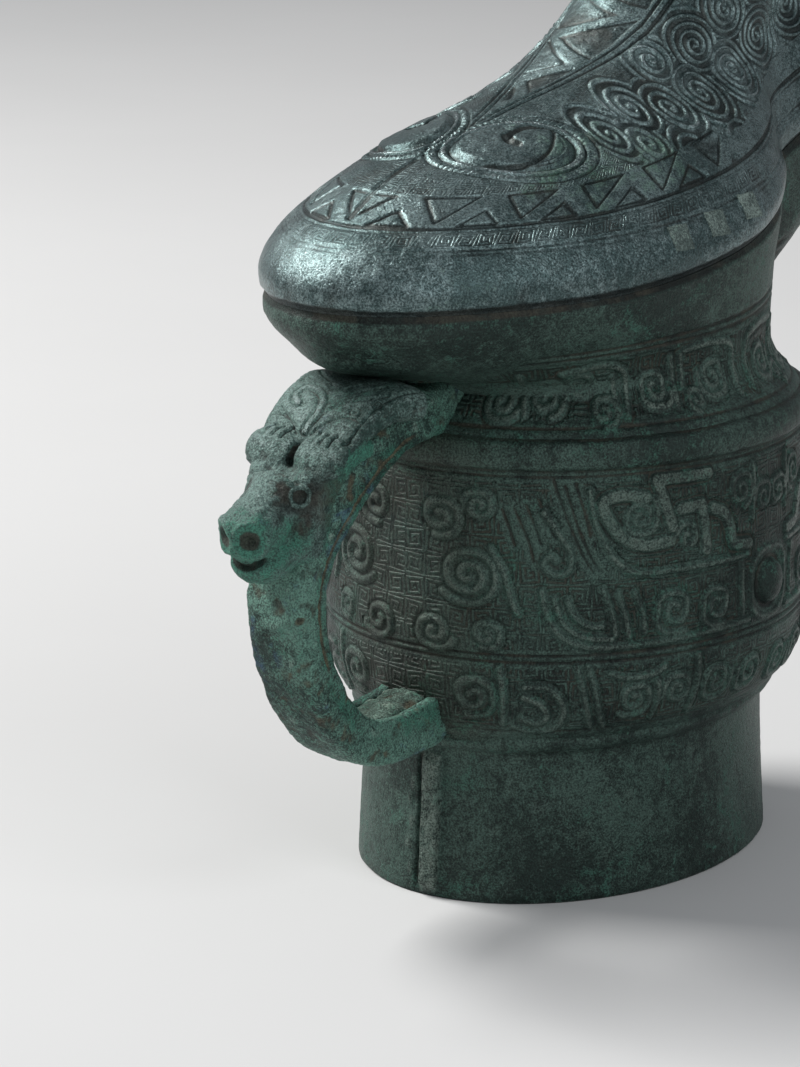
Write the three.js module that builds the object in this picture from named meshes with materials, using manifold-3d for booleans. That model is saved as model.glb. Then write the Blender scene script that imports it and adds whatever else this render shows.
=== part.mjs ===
// A bronze gong: a lidded pouring vessel on an oval ring foot, with a broad spout in front, a hollow loop
// handle under an ox head behind, and a lid that rises from a rounded rear snout to a horned beast's head.
// Millimetres. +X runs from the handle to the spout, +Z is up, and the foot stands on Z = 0.

import * as THREE from "three";
import { mergeVertices } from "three/addons/utils/BufferGeometryUtils.js";
import Module from "manifold-3d";

const wasm = await Module();
wasm.setup();

// Ring foot
const FOOT_LENGTH = 133.6;
const FOOT_WIDTH = 104;
const FOOT_HEIGHT = 43;
const FOOT_TAPER = 1.6;
const FOOT_WALL = 5;
const SEAM_RIB_WIDTH = 3.4;
const SEAM_RIB_PROUD = 2.2;
const SEAM_RIB_MARGIN = 3;

// Belly, with a bowstring under it, a raised band above it and an eye boss on each flank
const BELLY_LENGTH = 143.6;
const BELLY_WIDTH = 128.6;
const BELLY_ROUNDING = 20;
const BOWSTRING_HEIGHT = 4.5;
const BOWSTRING_PROUD = 1.5;
const BAND_LEVEL = 127.5;
const BAND_HEIGHT = 8.5;
const BAND_PROUD = 1.8;
const BOSS_LEVEL = 84.5;
const BOSS_ANGLE = 84;
const BOSS_RADIUS = 5.6;
const BOSS_PROUD = 3.2;
const RELIEF_WIDTH = 3;
const RELIEF_PROUD = 0.75;
const RELIEF_SUNK = 1.5;
const TAIL_SCROLL_RADIUS = 7.5;
const PAW_SCROLL_RADIUS = 5.2;

// Neck, rear lip and spout
const NECK_LENGTH = 120;
const NECK_WIDTH = 107;
const NECK_LEVEL = 143.5;
const LIP_HEIGHT = 16;
const LIP_CORNER = 9;
const RIM_LEVEL = 169.5;
const RIM_REAR = 111;
const RIM_FRONT = 142;
const RIM_WIDTH = 112;
const RIM_ROUND = 63;
const SPOUT_WIDTH = 56;
const SPOUT_NOSE = 42;
const SPOUT_FILLET = 11;
const SPOUT_RISE = 58;
const RISE_START = -60;
const WALL = 4;
const FLOOR_THICKNESS = 4.5;

// Loop handle: a channel open towards the vessel, cast on over two tenons, around a fired clay core
const HANDLE_WIDTH = 20;
const HANDLE_DEPTH = 10.5;
const HANDLE_ROOT_DEPTH = 15.5;
const HANDLE_REACH = 120.5;
const HANDLE_TOP = 138;
const HANDLE_BOTTOM = 51;
const HANDLE_WALL = 3.6;
const HANDLE_ROUNDING = 3.2;
const TENON_REACH = 7;
const CORE_SINK = 0.6;

// Ox head on the handle's upper bend
const OX_CROWN = 36;
const OX_CROWN_WIDTH = 36.8;
const OX_CROWN_THICKNESS = 13.5;
const OX_BROW = 29;
const OX_CHEEK = 30;
const OX_WIDTH = 23;
const OX_THROAT = 12;
const OX_MUZZLE_LENGTH = 20.8;
const OX_MUZZLE_RADIUS = 8.8;
const OX_MUZZLE_SINK = 5;
const OX_MUZZLE_DIP = 28;
const OX_MOUTH_SLIT = 1.6;
const OX_MOUTH_DEPTH = 4;
const OX_MOUTH_DROP = 4.6;
const OX_EAR_LENGTH = 16;
const OX_EAR_WIDTH = 10.8;
const OX_EAR_THICKNESS = 6.8;
const OX_EAR_TURN = 137.5;
const OX_EYE_RADIUS = 2.6;

// Lid
const LID_WALL = 3.6;
const LID_OVERHANG = 1.4;
const LID_EDGE_HEIGHT = 7;
const LID_CROWN = 206;
const NECK_TOP = 258;
const NECK_TOP_REAR = 36;
const NECK_TOP_FRONT = 110;
const NECK_TOP_WIDTH = 45;
const NECK_LAND = 4.5;
const FLANGE_WALL = 3;
const FLANGE_DEPTH = 8;
const WHORL_X = -50;
const WHORL_Y = 19.5;
const WHORL_RADIUS = 11.5;
const WHORL_PROUD = 1.7;

// Beast's head on the lid
const HEAD_PIVOT_GAP = 6;
const HEAD_NAPE = 70;
const HEAD_CROWN = 54;
const HEAD_BROW = 43;
const HEAD_NOSE = 27;
const HEAD_WIDTH = 47;
const MUZZLE_LENGTH = 38;
const MUZZLE_WIDTH = 32;
const MOUTH_SLIT = 2;
const MOUTH_RISE = 6.5;
const HEAD_WALL = 4.5;
const SPIGOT_DEPTH = 8;
const SOCKET_SPARE = 1.5;
const EYE_RADIUS = 6;
const BROW_WIDTH = 4;
const BROW_HEIGHT = 4.4;
const NOSTRIL_RADIUS = 4.4;
const NOSTRIL_SPREAD = 7.2;
const CHEEK_BAND_WIDTH = 2;
const CHEEK_BAND_PROUD = 0.5;
const CHEEK_SCROLL_RADIUS = 6;
const EAR_LENGTH = 17;
const EAR_WIDTH = 10;
const EAR_THICKNESS = 5;
const HORN_HEIGHT = 27;
const HORN_RADIUS = 8.6;
const HORN_STEM = 5.4;
const HORN_SPREAD = 13;
const PEG_RADIUS = 2.8;
const PEG_LENGTH = 6;

// Square casting spacers in the floor and in the lid's side walls
const SPACER_SIZE = 7;
const FLOOR_SPACER_X = 34;
const FLOOR_SPACER_Y = 24;
const LID_SPACER_ANGLES = [113, 98, 82];
const LID_SPACER_STEP = 1.55;

// Clearances
const SEAT_GAP = 0.3;
const CAST_ON_GAP = 0.3;
const FLANGE_GAP = 1.1;
const SPIGOT_GAP = 0.4;
const CORE_GAP = 0.3;
const SPACER_GAP = 0.3;

// Facets
const COLUMNS = 36;
const COLUMN_CROWDING = 0.24;
const HEAD_COLUMNS = 18;
const ROUND_SIDES = 10;
const EDGE = 1e-4;
const TANGENT_STEP = 0.2;

const radians = THREE.MathUtils.degToRad;
const clamp = THREE.MathUtils.clamp;
const lerp = THREE.MathUtils.lerp;

const bronze = { color: 0x33524a, roughness: 0.55, metalness: 0.75 };
const lidBronze = { color: 0x4b625f, roughness: 0.45, metalness: 0.8 };
const handleBronze = { color: 0x2d6152, roughness: 0.6, metalness: 0.65 };
const spacerBronze = { color: 0x6f8f84, roughness: 0.5, metalness: 0.75 };
const firedClay = { color: 0x8a6a48, roughness: 0.95, metalness: 0 };

// Solid geometry

// A closed mesh whose faces point out, whichever way its triangles were listed.
function closedMesh(points, triangles) {
  let volume = 0;
  for (const [a, b, c] of triangles) {
    volume += points[a].dot(points[b].clone().cross(points[c]));
  }
  const outward = volume > 0 ? triangles : triangles.map(([a, b, c]) => [a, c, b]);
  const geometry = new THREE.BufferGeometry().setFromPoints(points);
  geometry.setIndex(outward.flat());
  return geometry;
}

// The triangles between neighbouring rings of equal count. Joined rings go round and meet again.
function skin(rings, joined) {
  const count = rings[0].length;
  const steps = joined ? rings.length : rings.length - 1;
  const triangles = [];
  for (let i = 0; i < steps; i += 1) {
    const here = i * count;
    const there = ((i + 1) % rings.length) * count;
    for (let j = 0; j < count; j += 1) {
      const next = (j + 1) % count;
      triangles.push([here + j, here + next, there + next], [here + j, there + next, there + j]);
    }
  }
  return triangles;
}

// A solid through rings from end to end, each end closed by a fan about the middle of its ring.
function loft(rings) {
  const count = rings[0].length;
  const points = rings.flat();
  const triangles = skin(rings, false);
  const ends = [
    { ring: rings[0], start: 0, flip: true },
    { ring: rings.at(-1), start: points.length - count, flip: false },
  ];
  for (const { ring, start, flip } of ends) {
    const middle = new THREE.Vector3();
    for (const point of ring) {
      middle.addScaledVector(point, 1 / count);
    }
    points.push(middle);
    for (let j = 0; j < count; j += 1) {
      const a = start + j;
      const b = start + ((j + 1) % count);
      triangles.push(flip ? [b, a, points.length - 1] : [a, b, points.length - 1]);
    }
  }
  return closedMesh(points, triangles);
}

// A solid whose rings go once round its own section, such as a shell open above and below.
function ringLoft(rings) {
  return closedMesh(rings.flat(), skin(rings, true));
}

function solid(geometry) {
  const bare = geometry.clone();
  bare.deleteAttribute("normal");
  bare.deleteAttribute("uv");
  const merged = mergeVertices(bare, EDGE);
  return new wasm.Manifold(new wasm.Mesh({
    numProp: 3,
    vertProperties: Float32Array.from(merged.attributes.position.array),
    triVerts: Uint32Array.from(merged.index.array),
  }));
}

function geometryOf(body) {
  const mesh = body.getMesh();
  const geometry = new THREE.BufferGeometry();
  geometry.setAttribute("position", new THREE.BufferAttribute(mesh.vertProperties, 3));
  geometry.setIndex(new THREE.BufferAttribute(mesh.triVerts, 1));
  return geometry;
}

// A geometry laid with its Z axis along a direction, at a place.
function placed(geometry, at, along = new THREE.Vector3(0, 0, 1)) {
  const up = new THREE.Vector3(0, 0, 1);
  const turn = new THREE.Quaternion().setFromUnitVectors(up, along.clone().normalize());
  return geometry.clone().applyQuaternion(turn).translate(at.x, at.y, at.z);
}

// A ball stretched to three half sizes.
function ellipsoid(x, y, z) {
  return new THREE.SphereGeometry(1, ROUND_SIDES, ROUND_SIDES / 2).scale(x, y, z);
}

// A spherical cap on a short drum, its axis along Z and its rim at Z = 0.
function dome(radius, proud, sunk) {
  const profile = [new THREE.Vector2(0, -sunk), new THREE.Vector2(radius, -sunk)];
  const steps = 4;
  for (let i = 0; i < steps; i += 1) {
    const angle = (i / steps) * Math.PI / 2;
    profile.push(new THREE.Vector2(radius * Math.cos(angle), proud * Math.sin(angle)));
  }
  profile.push(new THREE.Vector2(0, proud));
  return new THREE.LatheGeometry(profile, ROUND_SIDES).rotateX(Math.PI / 2);
}

function cylinder(radius, from, to) {
  return new THREE.CylinderGeometry(radius, radius, to - from, ROUND_SIDES)
    .rotateX(Math.PI / 2).translate(0, 0, (from + to) / 2);
}

// A flat bar through points of a surface. It stands proud of them along their normals and is sunk below them.
function bar(points, normals, { width, proud, sunk }) {
  const last = points.length - 1;
  return loft(points.map((point, i) => {
    const along = points[Math.min(i + 1, last)].clone().sub(points[Math.max(i - 1, 0)]);
    const aside = normals[i].clone().cross(along).setLength(width / 2);
    return [[1, -sunk], [1, proud], [-1, proud], [-1, -sunk]].map(([side, height]) => (
      point.clone().addScaledVector(aside, side).addScaledVector(normals[i], height)
    ));
  }));
}

// Turns about the middle of a scroll, an open ring.
const SCROLL_TURNS = [40, 105, 180, 255, 320].map(radians);

// Plan outlines

// Bearings round the plan from the spout, closer together at the spout and the rear than on the flanks.
const BEARINGS = Array.from({ length: COLUMNS }, (_, j) => {
  const even = (2 * Math.PI * j) / COLUMNS;
  return even - COLUMN_CROWDING * Math.sin(2 * even);
});

// How far an oval of given reaches and power runs along a bearing from its middle.
function reach(bearing, length, half, power) {
  const across = Math.abs(Math.cos(bearing) / length) ** power;
  const aside = Math.abs(Math.sin(bearing) / half) ** power;
  return (across + aside) ** (-1 / power);
}

// How far a channel with parallel sides and an oval end runs along a bearing from a point on its middle line.
function channel(bearing, length, half, nose) {
  const [along, aside] = [Math.cos(bearing), Math.abs(Math.sin(bearing))];
  const straight = length - nose;
  if (aside * straight >= half * along) {
    return half / aside;
  }
  const square = (along / nose) ** 2 + (aside / half) ** 2;
  const linear = (straight * along) / nose ** 2;
  return (linear + Math.sqrt(linear ** 2 - square * ((straight / nose) ** 2 - 1))) / square;
}

// A mouth's outline: half an oval behind, and in front a rounder half oval with the spout's channel growing
// out of it. The fillet's power rounds the corner between the two.
function mouth(bearing, { rear, power, half, round, spout, spoutHalf }) {
  if (Math.cos(bearing) <= 0) {
    return reach(bearing, rear, half, power);
  }
  const bowl = reach(bearing, round, half, 2);
  const lip = channel(bearing, spout, spoutHalf, Math.min(SPOUT_NOSE, spout * 0.9));
  return (bowl ** SPOUT_FILLET + lip ** SPOUT_FILLET) ** (1 / SPOUT_FILLET);
}

// How far up the rim's sweep a point at x is, from 0 behind the start to 1 at the spout's tip.
function sweepUp(x, start, tip) {
  return (Math.max(0, x - start) / (tip - start)) ** 2;
}

// Curves through named stations, each a level and its sizes.
function throughStations(stations) {
  const levels = stations.map((station) => station.level);
  const sizes = stations.flatMap((station) => station.sizes);
  return new THREE.CubicInterpolant(levels, sizes, stations[0].sizes.length);
}

// Vessel wall: at each level the rear reach and its power, the half width, the front reach of the round
// body, and the reach and half width of the spout, which lies inside the body below the neck

const footTop = [FOOT_LENGTH / 2 - FOOT_TAPER, FOOT_WIDTH / 2 - FOOT_TAPER];
const belly = [BELLY_LENGTH / 2, BELLY_WIDTH / 2];
const neck = [NECK_LENGTH / 2, NECK_WIDTH / 2];
const bandFoot = BAND_LEVEL - BAND_HEIGHT / 2;
const bandTop = BAND_LEVEL + BAND_HEIGHT / 2;
const bellyFoot = FOOT_HEIGHT + BOWSTRING_HEIGHT;
const lipFoot = RIM_LEVEL - LIP_HEIGHT;
const lipRear = RIM_REAR - LIP_CORNER;
const rimHalf = RIM_WIDTH / 2;
const spoutHalf = SPOUT_WIDTH / 2;

function oval(level, [long, half]) {
  return { level, sizes: [long, 2, half, long, 0.6 * neck[0], 0.7 * spoutHalf] };
}

// Between two ovals, the share of the way from the first to the second.
function between(first, second, share) {
  return [lerp(first[0], second[0], share), lerp(first[1], second[1], share)];
}

// A level of the neck: shares of the way from the neck to the rim behind, on the flanks and at the spout.
function flared(level, rear, power, flank, front) {
  return { level, sizes: [
    rear, power, lerp(neck[1], rimHalf, flank), lerp(neck[0], RIM_ROUND, flank),
    lerp(neck[0], RIM_FRONT, front), lerp(0.8 * spoutHalf, spoutHalf, front),
  ] };
}

const wallStations = [
  oval(0, [FOOT_LENGTH / 2, FOOT_WIDTH / 2]),
  oval(FOOT_HEIGHT * 0.5, between([FOOT_LENGTH / 2, FOOT_WIDTH / 2], footTop, 0.7)),
  oval(FOOT_HEIGHT, footTop),
  oval(bellyFoot, between(footTop, belly, 0.28)),
  oval(bellyFoot + BELLY_ROUNDING * 0.3, between(footTop, belly, 0.68)),
  oval(bellyFoot + BELLY_ROUNDING * 0.65, between(footTop, belly, 0.92)),
  oval(bellyFoot + BELLY_ROUNDING, belly),
  oval((bellyFoot + BELLY_ROUNDING + bandFoot) / 2, belly),
  oval(bandFoot, between(belly, neck, 0.06)),
  oval(bandTop, between(belly, neck, 0.24)),
  oval(lerp(bandTop, NECK_LEVEL, 0.5), between(belly, neck, 0.74)),
  flared(NECK_LEVEL, neck[0] + 2, 1.8, 0, 0),
  flared(lerp(NECK_LEVEL, lipFoot, 0.5), lerp(neck[0], lipRear, 0.62), 1.5, 0, 0.24),
  flared(lipFoot, lipRear, 1.6, 0.1, 0.47),
  flared(lipFoot + LIP_HEIGHT * 0.4, lerp(lipRear, RIM_REAR, 0.55), 1.85, 0.4, 0.72),
  flared(RIM_LEVEL, RIM_REAR, 2.05, 1, 1),
];
const wallCurve = throughStations(wallStations);

// A point of the plain wall. Above the neck the whole ring leans up towards the spout.
function wallPoint(level, bearing) {
  const [rear, power, half, round, spout, lipHalf] = wallCurve.evaluate(level);
  const far = mouth(bearing, { rear, power, half, round, spout, spoutHalf: lipHalf });
  const x = far * Math.cos(bearing);
  const lean = clamp((level - NECK_LEVEL) / (RIM_LEVEL - NECK_LEVEL), 0, 1);
  const z = level + SPOUT_RISE * lean * sweepUp(x, RISE_START, RIM_FRONT);
  return new THREE.Vector3(x, far * Math.sin(bearing), z);
}

// The surface's outward direction at two parameters, from its two tangents.
function outward(surface, first, second, step) {
  const along = surface(first + step, second).sub(surface(first - step, second));
  const round = surface(first, second + EDGE).sub(surface(first, second - EDGE));
  return round.cross(along).normalize();
}

// A point of the wall moved out by a distance square to it, or in where the distance is negative.
function wallOffset(level, bearing, distance) {
  const base = clamp(level, TANGENT_STEP, RIM_LEVEL - TANGENT_STEP);
  return wallPoint(level, bearing).addScaledVector(outward(wallPoint, base, bearing, TANGENT_STEP), distance);
}

function wallRing(level, distance = 0) {
  return BEARINGS.map((bearing) => wallOffset(level, bearing, distance));
}

// A ring at one height, drawn in by a flat distance, for the upright walls of the foot and for the floor.
function levelRing(level, height, inset) {
  const [long, , half] = wallCurve.evaluate(level);
  return BEARINGS.map((bearing) => {
    const far = reach(bearing, long - inset, half - inset, 2);
    return new THREE.Vector3(far * Math.cos(bearing), far * Math.sin(bearing), height);
  });
}

// How far the bowstring and the band stand out of the wall at a level: two rounded mouldings.
function moulding(level) {
  const band = 1 - ((level - BAND_LEVEL) / (BAND_HEIGHT / 2)) ** 2;
  const string = 1 - ((level - FOOT_HEIGHT - BOWSTRING_HEIGHT / 2) / (BOWSTRING_HEIGHT / 2)) ** 2;
  return BAND_PROUD * Math.sqrt(Math.max(0, band)) + BOWSTRING_PROUD * Math.sqrt(Math.max(0, string));
}

function spread(from, to, steps) {
  return Array.from({ length: steps + 1 }, (_, i) => lerp(from, to, i / steps));
}

const mouldingSteps = [0, 0.12, 0.5, 0.88, 1];
const outerLevels = [
  ...spread(0, FOOT_HEIGHT, 2).slice(0, -1),
  ...mouldingSteps.map((share) => FOOT_HEIGHT + share * BOWSTRING_HEIGHT),
  ...spread(bellyFoot, bellyFoot + BELLY_ROUNDING, 3).slice(1),
  ...spread(bellyFoot + BELLY_ROUNDING, bandFoot, 2).slice(1, -1),
  ...mouldingSteps.map((share) => bandFoot + share * BAND_HEIGHT),
  ...spread(bandTop, NECK_LEVEL, 2).slice(1),
  ...spread(NECK_LEVEL, lipFoot, 3).slice(1),
  ...spread(lipFoot, RIM_LEVEL, 4).slice(1),
];
const innerFloor = FOOT_HEIGHT + FLOOR_THICKNESS;
const innerLevels = [
  ...spread(RIM_LEVEL, lipFoot, 3).slice(1),
  ...spread(lipFoot, NECK_LEVEL, 2).slice(1),
  ...spread(NECK_LEVEL, bandFoot, 2).slice(1),
  ...spread(bandFoot, bellyFoot + BELLY_ROUNDING, 2).slice(1),
  bellyFoot + BELLY_ROUNDING * 0.5,
];

// The inner edge of the rim lies level with its outer edge, so that the lid has a flat land to sit on.
function rimInner() {
  return BEARINGS.map((bearing) => {
    const inner = wallOffset(RIM_LEVEL, bearing, -WALL);
    return inner.setZ(wallPoint(RIM_LEVEL, bearing).z);
  });
}

function floorRing(height, share) {
  const level = bellyFoot + BELLY_ROUNDING * 0.5;
  return wallRing(level, -WALL).map((point) => new THREE.Vector3(point.x * share, point.y * share, height));
}

function vesselWall() {
  return solid(loft([
    levelRing(FOOT_HEIGHT, FOOT_HEIGHT, FOOT_WALL),
    levelRing(0, 0, FOOT_WALL),
    ...outerLevels.map((level) => wallRing(level, moulding(level))),
    rimInner(),
    ...innerLevels.map((level) => wallRing(level, -WALL)),
    floorRing(innerFloor + 1.5, 0.94),
    floorRing(innerFloor, 0.82),
  ]));
}

// The space that the vessel takes up with its hollows filled, grown by a clearance.
function vesselFilled(clearance) {
  return solid(loft(outerLevels.map((level) => wallRing(level, moulding(level) + clearance))));
}

function eyeBosses(body) {
  let result = body;
  for (const side of [1, -1]) {
    const bearing = side * radians(BOSS_ANGLE);
    const at = wallPoint(BOSS_LEVEL, bearing);
    const normal = outward(wallPoint, BOSS_LEVEL, bearing, TANGENT_STEP);
    result = result.add(solid(placed(dome(BOSS_RADIUS, BOSS_PROUD, WALL / 2), at, normal)));
  }
  return result;
}

// The beast on each half of a flank, drawn in broad bands. A corner is a turn in degrees from the eye boss
// and a share of the height from the belly's foot to the band above it.
const flankBands = {
  horn: [[44.5, 0.895], [50, 0.91], [54.5, 0.885], [52.5, 0.805], [47.5, 0.73], [37.5, 0.725]],
  crest: [[26.5, 0.95], [34, 0.95], [41.5, 0.955]],
  ear: [[35, 0.84], [28.5, 0.845], [27, 0.775], [26.5, 0.675]],
  brow: [[24.5, 0.82], [20.5, 0.795], [18, 0.735], [16.5, 0.675]],
  eyelid: [[51, 0.67], [46.5, 0.63], [41, 0.62], [31, 0.62], [20.5, 0.62], [10, 0.62]],
  jaw: [
    [68, 0.575], [66.5, 0.48], [63, 0.405], [57.5, 0.365], [48, 0.36], [38.5, 0.365], [29, 0.37],
    [19.5, 0.37], [10, 0.375],
  ],
  claw: [[71, 0.225], [66, 0.215], [63, 0.145], [64, 0.065], [69, 0.035], [74, 0.06]],
  tail: scrollCorners(82.5, 0.62, TAIL_SCROLL_RADIUS),
  rearPaw: scrollCorners(46, 0.16, PAW_SCROLL_RADIUS),
  frontPaw: scrollCorners(21, 0.17, PAW_SCROLL_RADIUS),
};

// The corners of a scroll of a given radius on the belly.
function scrollCorners(turn, rise, radius) {
  const aside = THREE.MathUtils.radToDeg(2 * radius / (belly[0] + belly[1]));
  const upward = radius / (bandFoot - bellyFoot);
  return SCROLL_TURNS.map((angle) => [turn + aside * Math.cos(angle), rise + upward * Math.sin(angle)]);
}

function flankRelief(body) {
  const section = { width: RELIEF_WIDTH, proud: RELIEF_PROUD, sunk: RELIEF_SUNK };
  let result = body;
  for (const corners of Object.values(flankBands)) {
    for (const [side, half] of [[1, 1], [1, -1], [-1, 1], [-1, -1]]) {
      const spots = corners.map(([turn, rise]) => (
        [lerp(bellyFoot, bandFoot, rise), side * radians(BOSS_ANGLE + half * turn)]
      ));
      const points = spots.map(([level, bearing]) => wallPoint(level, bearing));
      const normals = spots.map(([level, bearing]) => outward(wallPoint, level, bearing, TANGENT_STEP));
      result = result.add(solid(bar(points, normals, section)));
    }
  }
  return result;
}

// The casting seam left standing up the back of the foot.
function seamRib() {
  const height = FOOT_HEIGHT - 2 * SEAM_RIB_MARGIN;
  const depth = 2 * SEAM_RIB_PROUD;
  const rib = new THREE.BoxGeometry(depth, SEAM_RIB_WIDTH, height);
  const tilt = Math.atan2(FOOT_TAPER, FOOT_HEIGHT);
  return solid(rib.rotateY(tilt).translate(-(FOOT_LENGTH - FOOT_TAPER) / 2, 0, FOOT_HEIGHT / 2));
}

// Handle: a path in the middle plane, from its upper root on the neck to its lower root on the belly

const bendRise = HANDLE_TOP - HANDLE_BOTTOM;
const handlePath = new THREE.CatmullRomCurve3([
  [-(neck[0] - 8), HANDLE_TOP + 1],
  [-(neck[0] + 9), HANDLE_TOP],
  [-(HANDLE_REACH - 36), HANDLE_TOP - 0.03 * bendRise],
  [-(HANDLE_REACH - 22), HANDLE_TOP - 0.125 * bendRise],
  [-(HANDLE_REACH - 9), HANDLE_TOP - 0.26 * bendRise],
  [-(HANDLE_REACH - 1.5), HANDLE_TOP - 0.4 * bendRise],
  [-HANDLE_REACH, HANDLE_TOP - 0.54 * bendRise],
  [-(HANDLE_REACH - 1.5), HANDLE_TOP - 0.69 * bendRise],
  [-(HANDLE_REACH - 7), HANDLE_TOP - 0.835 * bendRise],
  [-(HANDLE_REACH - 17), HANDLE_TOP - 0.95 * bendRise],
  [-(HANDLE_REACH - 30), HANDLE_BOTTOM],
  [-(belly[0] + 2), HANDLE_BOTTOM],
  [-(belly[0] - 18), HANDLE_BOTTOM + 4],
].map(([x, z]) => new THREE.Vector3(x, 0, z)), false, "centripetal");
const HANDLE_STEPS = 28;

// The handle is deepest at its roots and slim where the fingers close round it.
function handleDepth(share) {
  return lerp(HANDLE_DEPTH, HANDLE_ROOT_DEPTH, Math.abs(2 * share - 1) ** 1.6);
}

// The shares of the handle's length at which a stretch of it is drawn.
function handleShares(from, to) {
  const inner = [];
  for (let i = Math.floor(from * HANDLE_STEPS) + 1; i < to * HANDLE_STEPS - EDGE; i += 1) {
    inner.push(i / HANDLE_STEPS);
  }
  return [from, ...inner, to];
}

// Carries an outline along a stretch of the handle. An outline point lies x across the handle, and inset
// below its outer face where the side is 1 or above its inner face where the side is -1.
function alongHandle(outline, from, to) {
  const rings = handleShares(from, to).map((share) => {
    const centre = handlePath.getPointAt(share);
    const tangent = handlePath.getTangentAt(share);
    const away = new THREE.Vector3(tangent.z, 0, -tangent.x);
    const half = handleDepth(share) / 2;
    return outline.map(({ x, side, inset }) => (
      new THREE.Vector3(0, x, 0).add(centre).addScaledVector(away, side * (half - inset))
    ));
  });
  const flat = outline.map(({ x, side, inset }) => new THREE.Vector2(x, side * (HANDLE_DEPTH / 2 - inset)));
  const lastStart = (rings.length - 1) * outline.length;
  const triangles = skin(rings, false);
  for (const [a, b, c] of THREE.ShapeUtils.triangulateShape(flat, [])) {
    triangles.push([b, a, c], [lastStart + a, lastStart + b, lastStart + c]);
  }
  return solid(closedMesh(rings.flat(), triangles));
}

// The handle's outer faces, with rounded outer edges, grown by a clearance.
function handleOutside(grow) {
  const half = HANDLE_WIDTH / 2 + grow;
  const edge = [0, 30, 60, 90].map((angle) => [Math.cos(radians(angle)), Math.sin(radians(angle))]);
  const right = edge.map(([across, up]) => ({
    x: half - HANDLE_ROUNDING * (1 - across), side: 1, inset: HANDLE_ROUNDING * (1 - up) - grow,
  }));
  const left = right.map(({ x, side, inset }) => ({ x: -x, side, inset })).reverse();
  return [{ x: half, side: -1, inset: -grow }, ...right, ...left, { x: -half, side: -1, inset: -grow }];
}

// The slot inside the channel, narrowed by a clearance and sunk below the channel's open side.
function handleSlot(clearance, sink) {
  const half = HANDLE_WIDTH / 2 - HANDLE_WALL - clearance;
  const outer = HANDLE_WALL + clearance;
  return [
    { x: half, side: -1, inset: sink }, { x: half, side: 1, inset: outer },
    { x: -half, side: 1, inset: outer }, { x: -half, side: -1, inset: sink },
  ];
}

const wholeHandle = [0, 1];
const slotMouth = -2;

// Where the handle's middle line leaves the vessel, as a share of its length from the given end.
function handleLeaves(fromTop) {
  const steps = 400;
  for (let i = 0; i <= steps; i += 1) {
    const share = fromTop ? i / steps : 1 - i / steps;
    const point = handlePath.getPointAt(share);
    if (point.x < -wallCurve.evaluate(point.z)[0]) {
      return share;
    }
  }
  return 0.5;
}

const handleLength = handlePath.getLength();
const upperLeaves = handleLeaves(true);
const lowerLeaves = handleLeaves(false);
const upperTenonEnd = upperLeaves + TENON_REACH / handleLength;
const lowerTenonEnd = lowerLeaves - TENON_REACH / handleLength;

function tenons(body) {
  const slot = handleSlot(CORE_GAP, CORE_SINK);
  const inWall = WALL * 0.6 / handleLength;
  return body
    .add(alongHandle(slot, upperLeaves - inWall, upperTenonEnd))
    .add(alongHandle(slot, lowerTenonEnd, lowerLeaves + inWall));
}

function handleStrap(vesselSpace) {
  return alongHandle(handleOutside(0), ...wholeHandle)
    .subtract(alongHandle(handleSlot(0, slotMouth), ...wholeHandle))
    .subtract(vesselSpace);
}

function handleCore(vesselSpace) {
  const apart = CORE_GAP / handleLength;
  return alongHandle(handleSlot(CORE_GAP, CORE_SINK), upperTenonEnd + apart, lowerTenonEnd - apart)
    .subtract(vesselSpace);
}

// Ox head: sections that fan about the inner corner of the handle's upper bend

const oxPivot = new THREE.Vector3(-(HANDLE_REACH - 22), 0, HANDLE_TOP - 21);
const oxStations = [
  [84, 0.85 * OX_CROWN, 0.91],
  [104, 0.875 * OX_CROWN, 1],
  [128, 0.85 * OX_CROWN, 1],
  [146, OX_BROW, 1],
  [160, lerp(OX_BROW, OX_CHEEK, 0.4), 0.99],
  [176, OX_CHEEK, 0.97],
  [192, 1.013 * OX_CHEEK, 0.94],
  [206, 0.9 * OX_CHEEK, 0.83],
].map(([level, outer, share]) => ({ level, sizes: [outer, share * OX_WIDTH / 2] }));
const crownStations = [
  [56, 0.833, 0],
  [70, 0.917, 0.28],
  [84, 0.972, 0.64],
  [100, 1, 0.93],
  [116, 0.983, 1],
  [130, 0.933, 1],
  [140, 0.878, 0.81],
].map(([level, outer, share]) => (
  { level, sizes: [outer * OX_CROWN, lerp(HANDLE_WIDTH, OX_CROWN_WIDTH, share) / 2] }
));
const oxCurve = throughStations(oxStations);
const crownCurve = throughStations(crownStations);
const OX_SECTION_POWER = 3;
const OX_STEPS = 8;
const CROWN_STEPS = 6;
const OX_COLUMNS = 16;

// The direction in the middle plane at an angle from +X towards +Z.
function inPlane(degrees) {
  return new THREE.Vector3(Math.cos(radians(degrees)), 0, Math.sin(radians(degrees)));
}

// A block whose sections fan about the pivot, from an inner radius out to a curve of reach and half width.
function oxFan(stations, curve, inner, steps) {
  const angles = spread(stations[0].level, stations.at(-1).level, steps);
  return solid(loft(angles.map((angle) => {
    const [outer, half] = curve.evaluate(angle);
    const middle = (inner + outer) / 2;
    return Array.from({ length: OX_COLUMNS }, (_, j) => {
      const bearing = (2 * Math.PI * j) / OX_COLUMNS;
      const far = reach(bearing, outer - middle, half, OX_SECTION_POWER);
      return oxPivot.clone().addScaledVector(inPlane(angle), middle + far * Math.cos(bearing))
        .add(new THREE.Vector3(0, far * Math.sin(bearing), 0));
    });
  })));
}

const oxMuzzleAxis = inPlane(180 + OX_MUZZLE_DIP);
const oxMuzzleRoot = oxPivot.clone().addScaledVector(inPlane(163), OX_CHEEK - OX_MUZZLE_SINK);

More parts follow.
